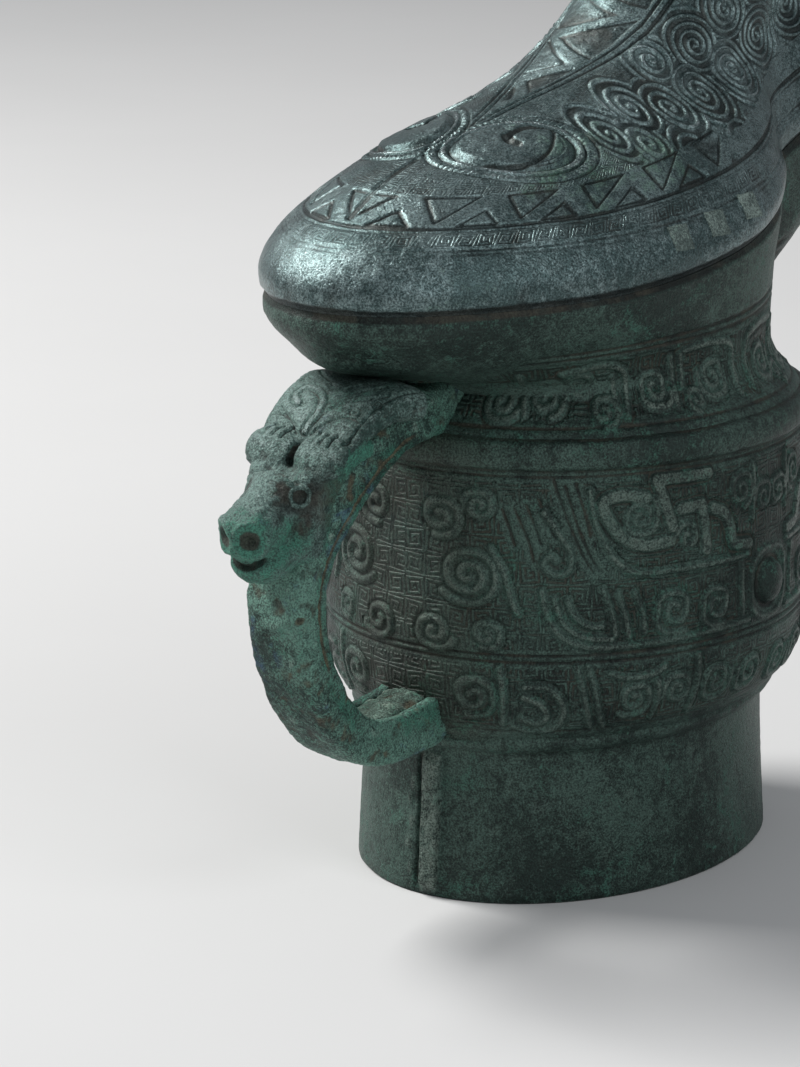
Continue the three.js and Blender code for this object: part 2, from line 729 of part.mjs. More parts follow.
// The muzzle narrows from the cheeks and ends blunt and rounded, with the mouth a slit low across its end.
function oxMuzzle() {
  const profile = [
    [0, 0], [1.18, 0], [1.05, 0.29], [1, 0.58], [0.98, 0.78], [0.75, 0.915], [0.36, 0.98], [0, 1],
  ].map(([radius, along]) => new THREE.Vector2(radius * OX_MUZZLE_RADIUS, along * OX_MUZZLE_LENGTH));
  const muzzle = new THREE.LatheGeometry(profile, ROUND_SIDES).rotateX(Math.PI / 2);
  const slit = new THREE.BoxGeometry(OX_MOUTH_SLIT, 4 * OX_MUZZLE_RADIUS, 2 * OX_MOUTH_DEPTH)
    .translate(-OX_MOUTH_DROP, 0, OX_MUZZLE_LENGTH);
  return solid(placed(muzzle, oxMuzzleRoot, oxMuzzleAxis))
    .subtract(solid(placed(slit, oxMuzzleRoot, oxMuzzleAxis)));
}

// Leaf-shaped ears laid sideways along the front edge of the crown.
function oxEar(side) {
  const leaf = ellipsoid(OX_EAR_WIDTH / 2, OX_EAR_THICKNESS / 2, OX_EAR_LENGTH / 2);
  const flat = leaf.rotateZ(-side * radians(OX_EAR_TURN - 90));
  const at = oxPivot.clone().addScaledVector(inPlane(OX_EAR_TURN), OX_CROWN - 0.6 * OX_EAR_THICKNESS);
  at.y = side * 0.61 * OX_EAR_LENGTH;
  return solid(placed(flat, at, new THREE.Vector3(0.12, side, 0.1)));
}

function oxEye(side) {
  const at = oxPivot.clone().addScaledVector(inPlane(162), OX_BROW - 0.4 * OX_EYE_RADIUS);
  at.y = side * (OX_WIDTH / 2 - 0.8 * OX_EYE_RADIUS);
  return solid(placed(ellipsoid(OX_EYE_RADIUS, OX_EYE_RADIUS, OX_EYE_RADIUS), at));
}

function oxHead(vesselSpace) {
  let head = oxFan(oxStations, oxCurve, OX_THROAT, OX_STEPS)
    .add(oxFan(crownStations, crownCurve, OX_CROWN - OX_CROWN_THICKNESS, CROWN_STEPS))
    .add(oxMuzzle());
  for (const side of [1, -1]) {
    head = head.add(oxEar(side)).add(oxEye(side));
  }
  return head.subtract(alongHandle(handleOutside(CAST_ON_GAP), ...wholeHandle)).subtract(vesselSpace);
}

// Lid: rings from its seat on the rim to the top of the beast's neck. Each holds its rear end and middle
// along X, its half width, the reach of its round front, the reach and half width of its spout, all from the
// middle, and its height at the rear and at the front tip.

const seatRear = RIM_LEVEL + SEAT_GAP;
const seatFront = seatRear + SPOUT_RISE;
const edgeRear = seatRear + LID_EDGE_HEIGHT;
const edgeFront = seatFront + LID_EDGE_HEIGHT;
const lidRear = -RIM_REAR - LID_OVERHANG;
const lidFront = RIM_FRONT + LID_OVERHANG;
const lidHalf = rimHalf + LID_OVERHANG;
const lidSpout = spoutHalf + LID_OVERHANG;
const neckHalf = NECK_TOP_WIDTH / 2;
const neckLong = (NECK_TOP_FRONT - NECK_TOP_REAR) / 2;
const neckMiddle = NECK_TOP_REAR + neckLong;

// A ring of the lid's body: shares of the way from its edge to the neck's top in length, width and height.
function lidBody(rear, middle, { front, flank, low, high }) {
  const shift = middle / neckMiddle;
  return [
    rear, middle, lerp(lidHalf, neckHalf, flank), lerp(RIM_ROUND, neckLong, 0.9 * shift ** 2),
    lerp(lidFront, NECK_TOP_FRONT, front) - middle, lerp(lidSpout, neckHalf * 0.8, flank), low,
    lerp(edgeFront, NECK_TOP, high),
  ];
}

const slope = (share) => lerp(LID_CROWN, NECK_TOP, share);
const back = (share) => lerp(edgeRear, LID_CROWN, share);
const lidStations = [
  [-RIM_REAR, 0, rimHalf, RIM_ROUND, RIM_FRONT, spoutHalf, seatRear, seatFront],
  [lidRear, 0, lidHalf, RIM_ROUND + LID_OVERHANG, lidFront, lidSpout, edgeRear, edgeFront - 1.5],
  [lidRear + 5, 0, lidHalf - 3.5, RIM_ROUND, lidFront - 1.5, lidSpout - 1.5, back(0.25), edgeFront + 2],
  lidBody(lidRear + 14.5, 2, { front: 0.14, flank: 0.24, low: back(0.47), high: 0.22 }),
  lidBody(lidRear + 32, 8, { front: 0.28, flank: 0.52, low: back(0.78), high: 0.38 }),
  lidBody(lidRear + 54, 16, { front: 0.42, flank: 0.76, low: LID_CROWN, high: 0.5 }),
  lidBody(-32, 27, { front: 0.57, flank: 0.9, low: slope(0.135), high: 0.62 }),
  lidBody(-5, 41, { front: 0.72, flank: 0.96, low: slope(0.335), high: 0.75 }),
  lidBody(NECK_TOP_REAR - 19, 57, { front: 0.86, flank: 0.99, low: slope(0.645), high: 0.88 }),
  [NECK_TOP_REAR, neckMiddle, neckHalf, neckLong, 0.7 * neckLong, 0.6 * neckHalf, NECK_TOP, NECK_TOP],
].map((sizes, level) => ({ level, sizes }));
const lidCurve = throughStations(lidStations);
const lidTop = lidStations.length - 1;

function lidPoint(level, bearing) {
  const [rear, middle, half, round, spout, lipHalf, low, high] = lidCurve.evaluate(level);
  const far = mouth(bearing, { rear: middle - rear, power: 2.05, half, round, spout, spoutHalf: lipHalf });
  const x = middle + far * Math.cos(bearing);
  const z = low + (high - low) * sweepUp(x, Math.max(RISE_START, rear), middle + Math.max(round, spout));
  return new THREE.Vector3(x, far * Math.sin(bearing), z);
}

function lidNormal(level, bearing) {
  const step = 0.02;
  return outward(lidPoint, clamp(level, step, lidTop - step), bearing, step);
}

function lidRing(level, distance = 0) {
  return BEARINGS.map((bearing) => (
    lidPoint(level, bearing).addScaledVector(lidNormal(level, bearing), distance)
  ));
}

// The oval opening at the top of the neck, drawn in from the neck's outside.
function neckMouth(inset, height, bearings = BEARINGS) {
  const long = neckLong - inset;
  return bearings.map((bearing) => {
    const far = reach(bearing, long, neckHalf - inset, 2);
    return new THREE.Vector3(neckMiddle + far * Math.cos(bearing), far * Math.sin(bearing), height);
  });
}

// A ring of the lid's flange, which follows the inside of the mouth at a clearance and a depth below the
// seat.
function flangeRing(inset, depth) {
  return BEARINGS.map((bearing) => {
    const rim = wallPoint(RIM_LEVEL, bearing);
    const lean = SPOUT_RISE * sweepUp(rim.x, RISE_START, RIM_FRONT) / (RIM_LEVEL - NECK_LEVEL);
    const point = wallOffset(RIM_LEVEL - depth / (1 + lean), bearing, -inset);
    return depth > 0 ? point : point.setZ(rim.z + SEAT_GAP);
  });
}

const spigotFoot = NECK_TOP - SPIGOT_DEPTH;
const flangeOuter = WALL + FLANGE_GAP;
const flangeInner = flangeOuter + FLANGE_WALL;
const lidOuterLevels = [0.5, ...spread(1, lidTop, 2 * lidTop - 5)];
const lidInnerLevels = spread(1.3, lidTop - 1, 6);

// The rings run from the seat inwards, as the rim's do, so that the facets of the two faces match.
function lidWall() {
  return solid(ringLoft([
    lidRing(0),
    flangeRing(flangeOuter, 0),
    flangeRing(flangeOuter, FLANGE_DEPTH),
    flangeRing(flangeInner, FLANGE_DEPTH),
    flangeRing(flangeInner, 0),
    ...lidInnerLevels.map((level) => lidRing(level, -LID_WALL)),
    neckMouth(NECK_LAND, spigotFoot - SOCKET_SPARE),
    neckMouth(NECK_LAND, NECK_TOP),
    ...lidOuterLevels.toReversed().map((level) => lidRing(level)),
  ]));
}

// The height and direction of the lid's surface above a point of the plan, found along the bearing lines.
function lidAbove(x, y) {
  let best = { gap: Infinity };
  for (const level of spread(1, lidTop, 40 * lidTop)) {
    for (const bearing of spread(0, Math.PI, 90)) {
      const point = lidPoint(level, bearing);
      const gap = Math.hypot(point.x - x, point.y - Math.abs(y));
      if (gap < best.gap) {
        best = { gap, level, bearing: Math.sign(y) * bearing };
      }
    }
  }
  return { at: lidPoint(best.level, best.bearing), normal: lidNormal(best.level, best.bearing) };
}

function whorlBosses(body) {
  let result = body;
  for (const side of [1, -1]) {
    const { at, normal } = lidAbove(WHORL_X, side * WHORL_Y);
    result = result.add(solid(placed(dome(WHORL_RADIUS, WHORL_PROUD, LID_WALL / 2), at, normal)));
  }
  return result;
}

// Beast's head: sections that fan about a pivot under the throat, then run forward along the muzzle. Each
// holds its turn in degrees, its advance along X, its near and far edge from the pivot and its half width.

const headPivot = new THREE.Vector3(NECK_TOP_FRONT + HEAD_PIVOT_GAP, 0, NECK_TOP);
const neckFar = NECK_TOP_FRONT - NECK_TOP_REAR + HEAD_PIVOT_GAP;
const headHalf = HEAD_WIDTH / 2;
const muzzleHalf = MUZZLE_WIDTH / 2;
const headStations = [
  [0, 0, HEAD_PIVOT_GAP, neckFar, neckHalf],
  [30, 0, HEAD_PIVOT_GAP, HEAD_NAPE, headHalf + 0.5],
  [60, 0, HEAD_PIVOT_GAP, HEAD_CROWN, headHalf],
  [90, 0, HEAD_PIVOT_GAP, HEAD_BROW, headHalf - 2],
  [
    90, MUZZLE_LENGTH * 0.36, HEAD_PIVOT_GAP - 1, lerp(HEAD_BROW, HEAD_NOSE, 0.55),
    lerp(headHalf, muzzleHalf, 0.65),
  ],
  [90, MUZZLE_LENGTH * 0.68, HEAD_PIVOT_GAP - 1, HEAD_NOSE + 1, muzzleHalf + 0.5],
  [90, MUZZLE_LENGTH * 0.9, HEAD_PIVOT_GAP, HEAD_NOSE, muzzleHalf],
  [90, MUZZLE_LENGTH, HEAD_PIVOT_GAP + 3.5, HEAD_NOSE - 4, muzzleHalf - 4],
].map((sizes, level) => ({ level, sizes }));
const headCurve = throughStations(headStations);
const HEAD_SECTION_POWER = 2.2;
const HEAD_BEARINGS = Array.from({ length: HEAD_COLUMNS }, (_, j) => (2 * Math.PI * j) / HEAD_COLUMNS);

function headRing(level, inset) {
  const [turn, advance, near, far, half] = headCurve.evaluate(level);
  const away = inPlane(180 - turn);
  const middle = (near + far) / 2;
  const forward = new THREE.Vector3(advance, 0, 0);
  return HEAD_BEARINGS.map((bearing) => {
    const out = reach(bearing, far - middle - inset, half - inset, HEAD_SECTION_POWER);
    return headPivot.clone().add(forward).addScaledVector(away, middle - out * Math.cos(bearing))
      .add(new THREE.Vector3(0, out * Math.sin(bearing), 0));
  });
}

const headLast = headStations.length - 1;
const headSeat = NECK_TOP + SEAT_GAP;
const headLevels = [...spread(0, 3, 6).slice(1), ...spread(3, headLast, 6).slice(1)];
const hollowEnd = 4.4;
const hollowLevels = [...spread(0, 3, 5).slice(1), 3.7, hollowEnd];

// The head's outer rings, grown by a clearance, from its seat on the neck to the tip of the muzzle.
function headOutside(grow) {
  const base = neckMouth(-grow, headSeat, HEAD_BEARINGS);
  return [base, ...headLevels.map((level) => headRing(level, -grow))];
}

// The rings of the hollow inside the head, open at the foot of the spigot.
function headHollow(clearance, foot) {
  const inset = NECK_LAND + SPIGOT_GAP + HEAD_WALL + clearance;
  return [
    neckMouth(inset, foot, HEAD_BEARINGS),
    neckMouth(inset, headSeat, HEAD_BEARINGS),
    ...hollowLevels.map((level) => headRing(level, HEAD_WALL + 2 + clearance)),
  ];
}

function onHead(turn, aside) {
  const level = turn / 30;
  const [, , near, far, half] = headCurve.evaluate(level);
  const middle = (near + far) / 2;
  const out = (far - middle) * Math.sqrt(1 - (aside / half) ** 2);
  const at = headPivot.clone().addScaledVector(inPlane(180 - turn), middle + out);
  return at.setY(aside);
}

const HORN_TURN = 52;
const hornAxis = (side) => new THREE.Vector3(-0.28, 0.34 * side, 0.9).normalize();

function headEar(side) {
  const leaf = ellipsoid(EAR_WIDTH / 2, EAR_THICKNESS / 2, EAR_LENGTH / 2);
  const root = onHead(40, side * (headHalf - 4));
  const along = new THREE.Vector3(-0.45, 0.75 * side, 0.5).normalize();
  return solid(placed(leaf, root.addScaledVector(along, EAR_LENGTH * 0.3), along));
}

const eyeAt = (side) => onHead(88, side * (headHalf - 6.5));

function headEye(side) {
  return solid(placed(ellipsoid(EYE_RADIUS, EYE_RADIUS, EYE_RADIUS), eyeAt(side)));
}

// A brow: a bar bent over the eye, from the bridge of the nose back towards the ear.
function headBrow(side) {
  const bends = [[2.3, -1, -0.33], [0.67, -0.58, 0.77], [-0.67, 0, 0.93], [-1.4, 0.33, 0.73]];
  const points = bends.map(([along, aside, rise]) => (
    eyeAt(side).add(new THREE.Vector3(along, aside * side, rise).multiplyScalar(EYE_RADIUS))
  ));
  const normals = points.map(() => new THREE.Vector3(0, 0, 1));
  return solid(bar(points, normals, { width: BROW_WIDTH, proud: BROW_HEIGHT / 2, sunk: BROW_HEIGHT / 2 }));
}

// A nostril's swelling on top of the muzzle's end.
function headNostril(side) {
  const swelling = ellipsoid(1.1 * NOSTRIL_RADIUS, NOSTRIL_RADIUS, 0.8 * NOSTRIL_RADIUS);
  const ahead = MUZZLE_LENGTH - 1.25 * NOSTRIL_RADIUS;
  const at = new THREE.Vector3(ahead, side * NOSTRIL_SPREAD, HEAD_NOSE - 0.6 * NOSTRIL_RADIUS);
  return solid(placed(swelling, at.add(headPivot)));
}

// The point of the head's left flank at a distance ahead of the pivot, negative behind it, and above it.
function cheekPoint(ahead, above) {
  const turn = THREE.MathUtils.radToDeg(Math.atan2(above, -ahead));
  const [, , near, far, half] = headCurve.evaluate(turn / 30);
  const middle = (near + far) / 2;
  const share = Math.abs(Math.hypot(ahead, above) - middle) / (far - middle);
  const aside = half * (1 - share ** HEAD_SECTION_POWER) ** (1 / HEAD_SECTION_POWER);
  return headPivot.clone().add(new THREE.Vector3(ahead, aside, above));
}

// Scrolls on the beast's cheek and neck, each at a turn in degrees and a share of the way across the section.
const cheekScrolls = [[59.5, 0.41], [26.5, 0.49]];

function cheekScroll([turn, share], side) {
  const [, , near, far] = headCurve.evaluate(turn / 30);
  const middle = inPlane(180 - turn).multiplyScalar(lerp(near, far, share));
  const spots = SCROLL_TURNS.map((angle) => (
    [middle.x + CHEEK_SCROLL_RADIUS * Math.cos(angle), middle.z + CHEEK_SCROLL_RADIUS * Math.sin(angle)]
  ));
  const points = spots.map(([x, z]) => cheekPoint(x, z));
  const normals = spots.map(([x, z]) => outward(cheekPoint, x, z, TANGENT_STEP));
  const section = { width: CHEEK_BAND_WIDTH, proud: CHEEK_BAND_PROUD, sunk: RELIEF_SUNK };
  const mirror = ({ x, y, z }) => new THREE.Vector3(x, side * y, z);
  return solid(bar(points.map(mirror), normals.map(mirror), section));
}

// The mouth is a slit from the tip of the muzzle back to a wall's thickness before the hollow.
function mouthSlit() {
  const [, hollowAdvance] = headCurve.evaluate(hollowEnd);
  const depth = MUZZLE_LENGTH - hollowAdvance - HEAD_WALL;
  const slit = new THREE.BoxGeometry(2 * depth, 2 * MUZZLE_WIDTH, MOUTH_SLIT);
  return solid(slit.translate(headPivot.x + MUZZLE_LENGTH, 0, headPivot.z + HEAD_PIVOT_GAP + MOUTH_RISE));
}

function lidHead() {
  const spigot = neckMouth(NECK_LAND + SPIGOT_GAP, spigotFoot, HEAD_BEARINGS);
  const shoulder = neckMouth(NECK_LAND + SPIGOT_GAP, headSeat, HEAD_BEARINGS);
  let head = solid(loft([spigot, shoulder, ...headOutside(0)]));
  for (const side of [1, -1]) {
    const root = onHead(HORN_TURN, side * HORN_SPREAD);
    const peg = cylinder(PEG_RADIUS, -HEAD_WALL / 2, PEG_LENGTH);
    head = head.add(headEar(side)).add(headEye(side)).add(headBrow(side)).add(headNostril(side))
      .add(solid(placed(peg, root, hornAxis(side))));
    for (const scroll of cheekScrolls) {
      head = head.add(cheekScroll(scroll, side));
    }
  }
  return head.subtract(mouthSlit()).subtract(solid(loft(headHollow(0, spigotFoot - 1))));
}

function lidHeadCore() {
  return solid(loft(headHollow(CORE_GAP, spigotFoot + CORE_SINK)));
}

// A bottle horn: a stem that swells to a shoulder and closes in a cone, on a peg of the crown.
function bottleHorn(side) {
  const root = onHead(HORN_TURN, side * HORN_SPREAD);
  const sunk = 6;
  const profile = [
    [0, -sunk], [HORN_STEM + 1, -sunk], [HORN_STEM + 0.6, 0], [HORN_STEM, HORN_HEIGHT * 0.16],
    [HORN_RADIUS - 0.8, HORN_HEIGHT * 0.27], [HORN_RADIUS, HORN_HEIGHT * 0.4],
    [HORN_RADIUS - 1.2, HORN_HEIGHT * 0.55], [HORN_RADIUS * 0.45, HORN_HEIGHT * 0.82],
    [HORN_RADIUS * 0.16, HORN_HEIGHT * 0.98], [0, HORN_HEIGHT],
  ].map(([radius, height]) => new THREE.Vector2(radius, height));
  const horn = new THREE.LatheGeometry(profile, ROUND_SIDES).rotateX(Math.PI / 2);
  const socket = cylinder(PEG_RADIUS + CAST_ON_GAP, -2 * sunk, PEG_LENGTH + CAST_ON_GAP);
  return solid(placed(horn, root, hornAxis(side)))
    .subtract(solid(loft(headOutside(CAST_ON_GAP))))
    .subtract(solid(placed(socket, root, hornAxis(side))));
}

// Casting spacers: square plugs that keep the wall's own curve, each in a hole a clearance wider

function spacerBlock(size, length, at, along) {
  return solid(placed(new THREE.BoxGeometry(size, size, length), at, along));
}

function takeSpacers(wall, places, length) {
  let rest = wall;
  const plugs = [];
  for (const { at, along } of places) {
    plugs.push(wall.intersect(spacerBlock(SPACER_SIZE, length, at, along)));
    rest = rest.subtract(spacerBlock(SPACER_SIZE + 2 * SPACER_GAP, length, at, along));
  }
  return { rest, plugs };
}

const floorPlaces = [[1, 1], [1, -1], [-1, -1], [-1, 1]].map(([x, y]) => ({
  at: new THREE.Vector3(x * FLOOR_SPACER_X, y * FLOOR_SPACER_Y, FOOT_HEIGHT + FLOOR_THICKNESS / 2),
  along: new THREE.Vector3(0, 0, 1),
}));
const lidPlaces = [1, -1].flatMap((side) => LID_SPACER_ANGLES.map((angle) => ({
  at: lidPoint(LID_SPACER_STEP, side * radians(angle)),
  along: lidNormal(LID_SPACER_STEP, side * radians(angle)),
})));

// Assembly, moved along X so that the foot's plane lies under the middle of the whole

const vesselSpace = vesselFilled(CAST_ON_GAP);
const wall = vesselWall();
const floor = takeSpacers(wall, floorPlaces, 4 * FLOOR_THICKNESS);
const lid = takeSpacers(lidWall(), lidPlaces, 4 * LID_WALL);

const pieces = [
  ["vessel_body", tenons(flankRelief(eyeBosses(floor.rest.add(seamRib())))), bronze],
  ["handle_strap", handleStrap(vesselSpace), handleBronze],
  ["handle_core", handleCore(vesselSpace), firedClay],
  ["handle_ox_head", oxHead(vesselSpace), handleBronze],
  ...floor.plugs.map((plug, i) => [`floor_spacer_${i + 1}`, plug, spacerBronze]),
  ["lid_shell", whorlBosses(lid.rest), lidBronze],
  ["lid_head", lidHead(), lidBronze],
  ["lid_head_core", lidHeadCore(), firedClay],
  ["horn_left", bottleHorn(1), lidBronze],
  ["horn_right", bottleHorn(-1), lidBronze],
  ...lid.plugs.map((plug, i) => [`lid_spacer_${i + 1}`, plug, spacerBronze]),
];

const gong = new THREE.Group();
for (const [name, body, finish] of pieces) {
  const mesh = new THREE.Mesh(geometryOf(body), new THREE.MeshStandardMaterial(finish));
  mesh.name = name;
  gong.add(mesh);
}
const box = new THREE.Box3().setFromObject(gong);
gong.position.x = -(box.min.x + box.max.x) / 2;

export default gong;
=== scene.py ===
"""Looks of a bronze gong, a lidded pouring vessel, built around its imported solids.

Every surface is worked out in millimetres about the axis of the foot, with +X towards the spout and +Z up, as
a function of two parameters on a grid. A relief, also in millimetres, then moves each point along the
surface's own outward direction, and the point goes into the mesh in metres. The two heads are first wrapped
in one skin from several bodies.
"""

import bpy
import numpy as np
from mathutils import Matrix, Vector


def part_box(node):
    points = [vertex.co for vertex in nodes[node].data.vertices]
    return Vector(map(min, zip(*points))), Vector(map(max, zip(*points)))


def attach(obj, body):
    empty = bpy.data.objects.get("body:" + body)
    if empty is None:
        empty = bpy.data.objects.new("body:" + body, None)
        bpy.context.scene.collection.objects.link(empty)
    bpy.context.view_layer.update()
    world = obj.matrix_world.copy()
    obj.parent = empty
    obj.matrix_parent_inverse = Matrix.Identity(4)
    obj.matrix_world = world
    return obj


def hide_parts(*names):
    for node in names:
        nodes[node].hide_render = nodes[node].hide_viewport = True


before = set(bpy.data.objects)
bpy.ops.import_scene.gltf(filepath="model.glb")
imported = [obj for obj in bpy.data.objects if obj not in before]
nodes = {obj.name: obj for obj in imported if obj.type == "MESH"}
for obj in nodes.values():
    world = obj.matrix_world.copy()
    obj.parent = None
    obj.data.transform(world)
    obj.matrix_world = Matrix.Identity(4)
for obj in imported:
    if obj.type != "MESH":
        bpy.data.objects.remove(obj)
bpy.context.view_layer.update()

MM = 0.001
FLANKS = (1, -1)


def middle_of(node):
    """The middle of a CAD node's box, in millimetres."""
    low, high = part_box(node)
    return np.array((low + high) / 2) / MM


AXIS_X = (middle_of("floor_spacer_1")[0] + middle_of("floor_spacer_3")[0]) / 2

# Ring foot, belly and band
FOOT_LENGTH, FOOT_WIDTH, FOOT_HEIGHT, FOOT_TAPER, FOOT_WALL = 133.6, 104.0, 43.0, 1.6, 5.0
SEAM_RIB_WIDTH, SEAM_RIB_PROUD, SEAM_RIB_MARGIN, SEAM_RIB_ASIDE = 5.4, 1.8, 1.5, -4.2
SEAM_GROOVE_WIDTH, SEAM_GROOVE_DEPTH, SEAM_GROOVE_ASIDE = 1.7, 1.1, -0.4
BELLY_LENGTH, BELLY_WIDTH, BELLY_ROUNDING = 143.6, 128.6, 20.0
BOWSTRING_HEIGHT, BOWSTRING_PROUD = 4.5, 1.5
BAND_LEVEL, BAND_HEIGHT, BAND_PROUD = 127.5, 8.5, 1.8
BOSS_LEVEL, BOSS_ANGLE, BOSS_RADIUS, BOSS_PROUD = 84.5, 84.0, 6.2, 3.0

# Neck, rear lip and spout
NECK_LENGTH, NECK_WIDTH, NECK_LEVEL = 120.0, 107.0, 143.5
LIP_HEIGHT, LIP_CORNER, LIP_ROLL, SEAM_ROUND = 16.0, 9.0, 1.6, 1.25
RIM_LEVEL, RIM_REAR, RIM_FRONT, RIM_WIDTH, RIM_ROUND = 169.5, 111.0, 142.0, 112.0, 63.0
SPOUT_WIDTH, SPOUT_NOSE, SPOUT_FILLET, SPOUT_RISE, RISE_START = 56.0, 42.0, 11.0, 58.0, -60.0
WALL, FLOOR_THICKNESS = 4.0, 4.5

# Handle and ox head
HANDLE_WIDTH, HANDLE_DEPTH, HANDLE_ROOT_DEPTH = 20.0, 10.5, 15.5
HANDLE_REACH, HANDLE_TOP, HANDLE_BOTTOM, HANDLE_WALL = 120.5, 138.0, 51.0, 3.6
OX_THROAT, OX_CROWN_INNER, OX_MUZZLE_DIP = 12.0, 23.5, 28.0

# Lid, beast's head and horns
LID_WALL, LID_OVERHANG, LID_EDGE_HEIGHT, LID_CROWN = 3.6, 0.6, 7.0, 206.0
NECK_TOP, NECK_TOP_REAR, NECK_TOP_FRONT, NECK_TOP_WIDTH, NECK_LAND = 258.0, 36.0, 110.0, 45.0, 4.5
FLANGE_WALL, FLANGE_DEPTH, FLANGE_GAP, SEAT_GAP = 3.0, 8.0, 1.1, 0.3
WHORL_X, WHORL_Y, WHORL_LONG, WHORL_SHORT, WHORL_LEAN = -47.5, 16.6, 16.6, 11.0, 36.0
HEAD_PIVOT_GAP, HEAD_NAPE, HEAD_CROWN, HEAD_BROW, HEAD_NOSE, HEAD_WIDTH = 6.0, 70.0, 54.0, 43.0, 27.0, 47.0
MUZZLE_LENGTH, MUZZLE_WIDTH = 38.0, 32.0
SPIGOT_DEPTH, EYE_RADIUS = 8.0, 6.0
HORN_HEIGHT, HORN_RADIUS, HORN_STEM, HORN_SPREAD, HORN_TURN = 27.0, 8.6, 5.4, 13.0, 52.0
SPACER_SIZE, LID_SPACER_ANGLES, LID_SPACER_STEP = 7.0, (113.0, 98.0, 82.0), 1.55
PLUG_BOW, PLUG_CAMBER, PLUG_PROUD, PLUG_DEPTH, PLUG_STEPS = 0.0042, 0.006, 0.28, 2.6, 12


def mix(first, second, share):
    """The value at a share of the way from the first to the second."""
    return first + (second - first) * share


def smooth(value):
    """An S-shaped rise from 0 to 1 as the value goes from 0 to 1."""
    value = np.clip(value, 0, 1)
    return value * value * (3 - 2 * value)


def ridge(value, at, width, top=1):
    """1 where a value is near a place, falling smoothly to 0 on both sides at the width times the top."""
    return smooth(top - np.abs(value - at) / width)


def through(stations, at):
    """Cubic curves through rows of [level, sizes...], at each level asked for.

    Each stretch is a Hermite cubic whose end slopes are those of the chord across the neighbouring stations.
    The first and the last stretch take their own chord as the outer slope.
    """
    table = np.asarray(stations, float)
    levels, sizes = table[:, 0], table[:, 1:]
    at = np.asarray(at, float)
    i = np.clip(np.searchsorted(levels, at, side="right") - 1, 0, len(levels) - 2)
    before, after = np.maximum(i - 1, 0), np.minimum(i + 2, len(levels) - 1)
    step = (levels[i + 1] - levels[i])[..., None]
    start = (sizes[i + 1] - sizes[before]) / (levels[i + 1] - levels[before])[..., None] * step
    end = (sizes[after] - sizes[i]) / (levels[after] - levels[i])[..., None] * step
    p = ((at - levels[i]) / (levels[i + 1] - levels[i]))[..., None]
    rise = p * p * (3 - 2 * p)
    return (
        sizes[i] * (1 - rise) + sizes[i + 1] * rise
        + start * p * (1 - p) ** 2 - end * p * p * (1 - p)
    )


def reach(bearing, length, half, power):
    """How far an oval of given reaches and power runs along a bearing from its middle."""
    across = np.abs(np.cos(bearing) / length) ** power
    aside = np.abs(np.sin(bearing) / half) ** power
    return (across + aside) ** (-1 / power)


def channel(bearing, length, half, nose):
    """How far a channel with parallel sides and an oval end runs along a bearing from its root."""
    along, aside = np.cos(bearing), np.abs(np.sin(bearing))
    straight = length - nose
    square = (along / nose) ** 2 + (aside / half) ** 2
    linear = straight * along / nose**2
    inside = np.maximum(linear**2 - square * ((straight / nose) ** 2 - 1), 0)
    end = (linear + np.sqrt(inside)) / square
    return np.where(aside * straight >= half * along, half / np.maximum(aside, 1e-9), end)


def mouth(bearing, rear, power, half, front, spout, spout_half):
    """Half an oval behind, and in front a rounder half oval with the spout's channel growing out of it."""
    bowl = reach(bearing, front, half, 2)
    lip = channel(bearing, spout, spout_half, np.minimum(SPOUT_NOSE, spout * 0.9))
    ahead = (bowl**SPOUT_FILLET + lip**SPOUT_FILLET) ** (1 / SPOUT_FILLET)
    return np.where(np.cos(bearing) <= 0, reach(bearing, rear, half, power), ahead)


def sweep_up(x, start, tip):
    """The rim's sweep: 0 behind its start, rising as a square to 1 at the spout's tip."""
    return (np.maximum(0, x - start) / (tip - start)) ** 2


foot_top = np.array([FOOT_LENGTH / 2 - FOOT_TAPER, FOOT_WIDTH / 2 - FOOT_TAPER])
foot_base = np.array([FOOT_LENGTH / 2, FOOT_WIDTH / 2])
belly = np.array([BELLY_LENGTH / 2, BELLY_WIDTH / 2])
neck = np.array([NECK_LENGTH / 2, NECK_WIDTH / 2])
band_foot, band_top = BAND_LEVEL - BAND_HEIGHT / 2, BAND_LEVEL + BAND_HEIGHT / 2
belly_foot = FOOT_HEIGHT + BOWSTRING_HEIGHT
lip_foot, lip_rear = RIM_LEVEL - LIP_HEIGHT, RIM_REAR - LIP_CORNER
rim_half, spout_half = RIM_WIDTH / 2, SPOUT_WIDTH / 2


def oval_station(level, size):
    """A station of the wall below the neck, where the spout still lies inside the oval."""
    return [level, size[0], 2, size[1], size[0], 0.6 * neck[0], 0.7 * spout_half]


def flared_station(level, rear, power, flank, front):
    """A station of the neck: shares of the way to the rim on the flanks and at the spout."""
    return [
        level, rear, power, mix(neck[1], rim_half, flank), mix(neck[0], RIM_ROUND, flank),
        mix(neck[0], RIM_FRONT, front), mix(0.8 * spout_half, spout_half, front),
    ]


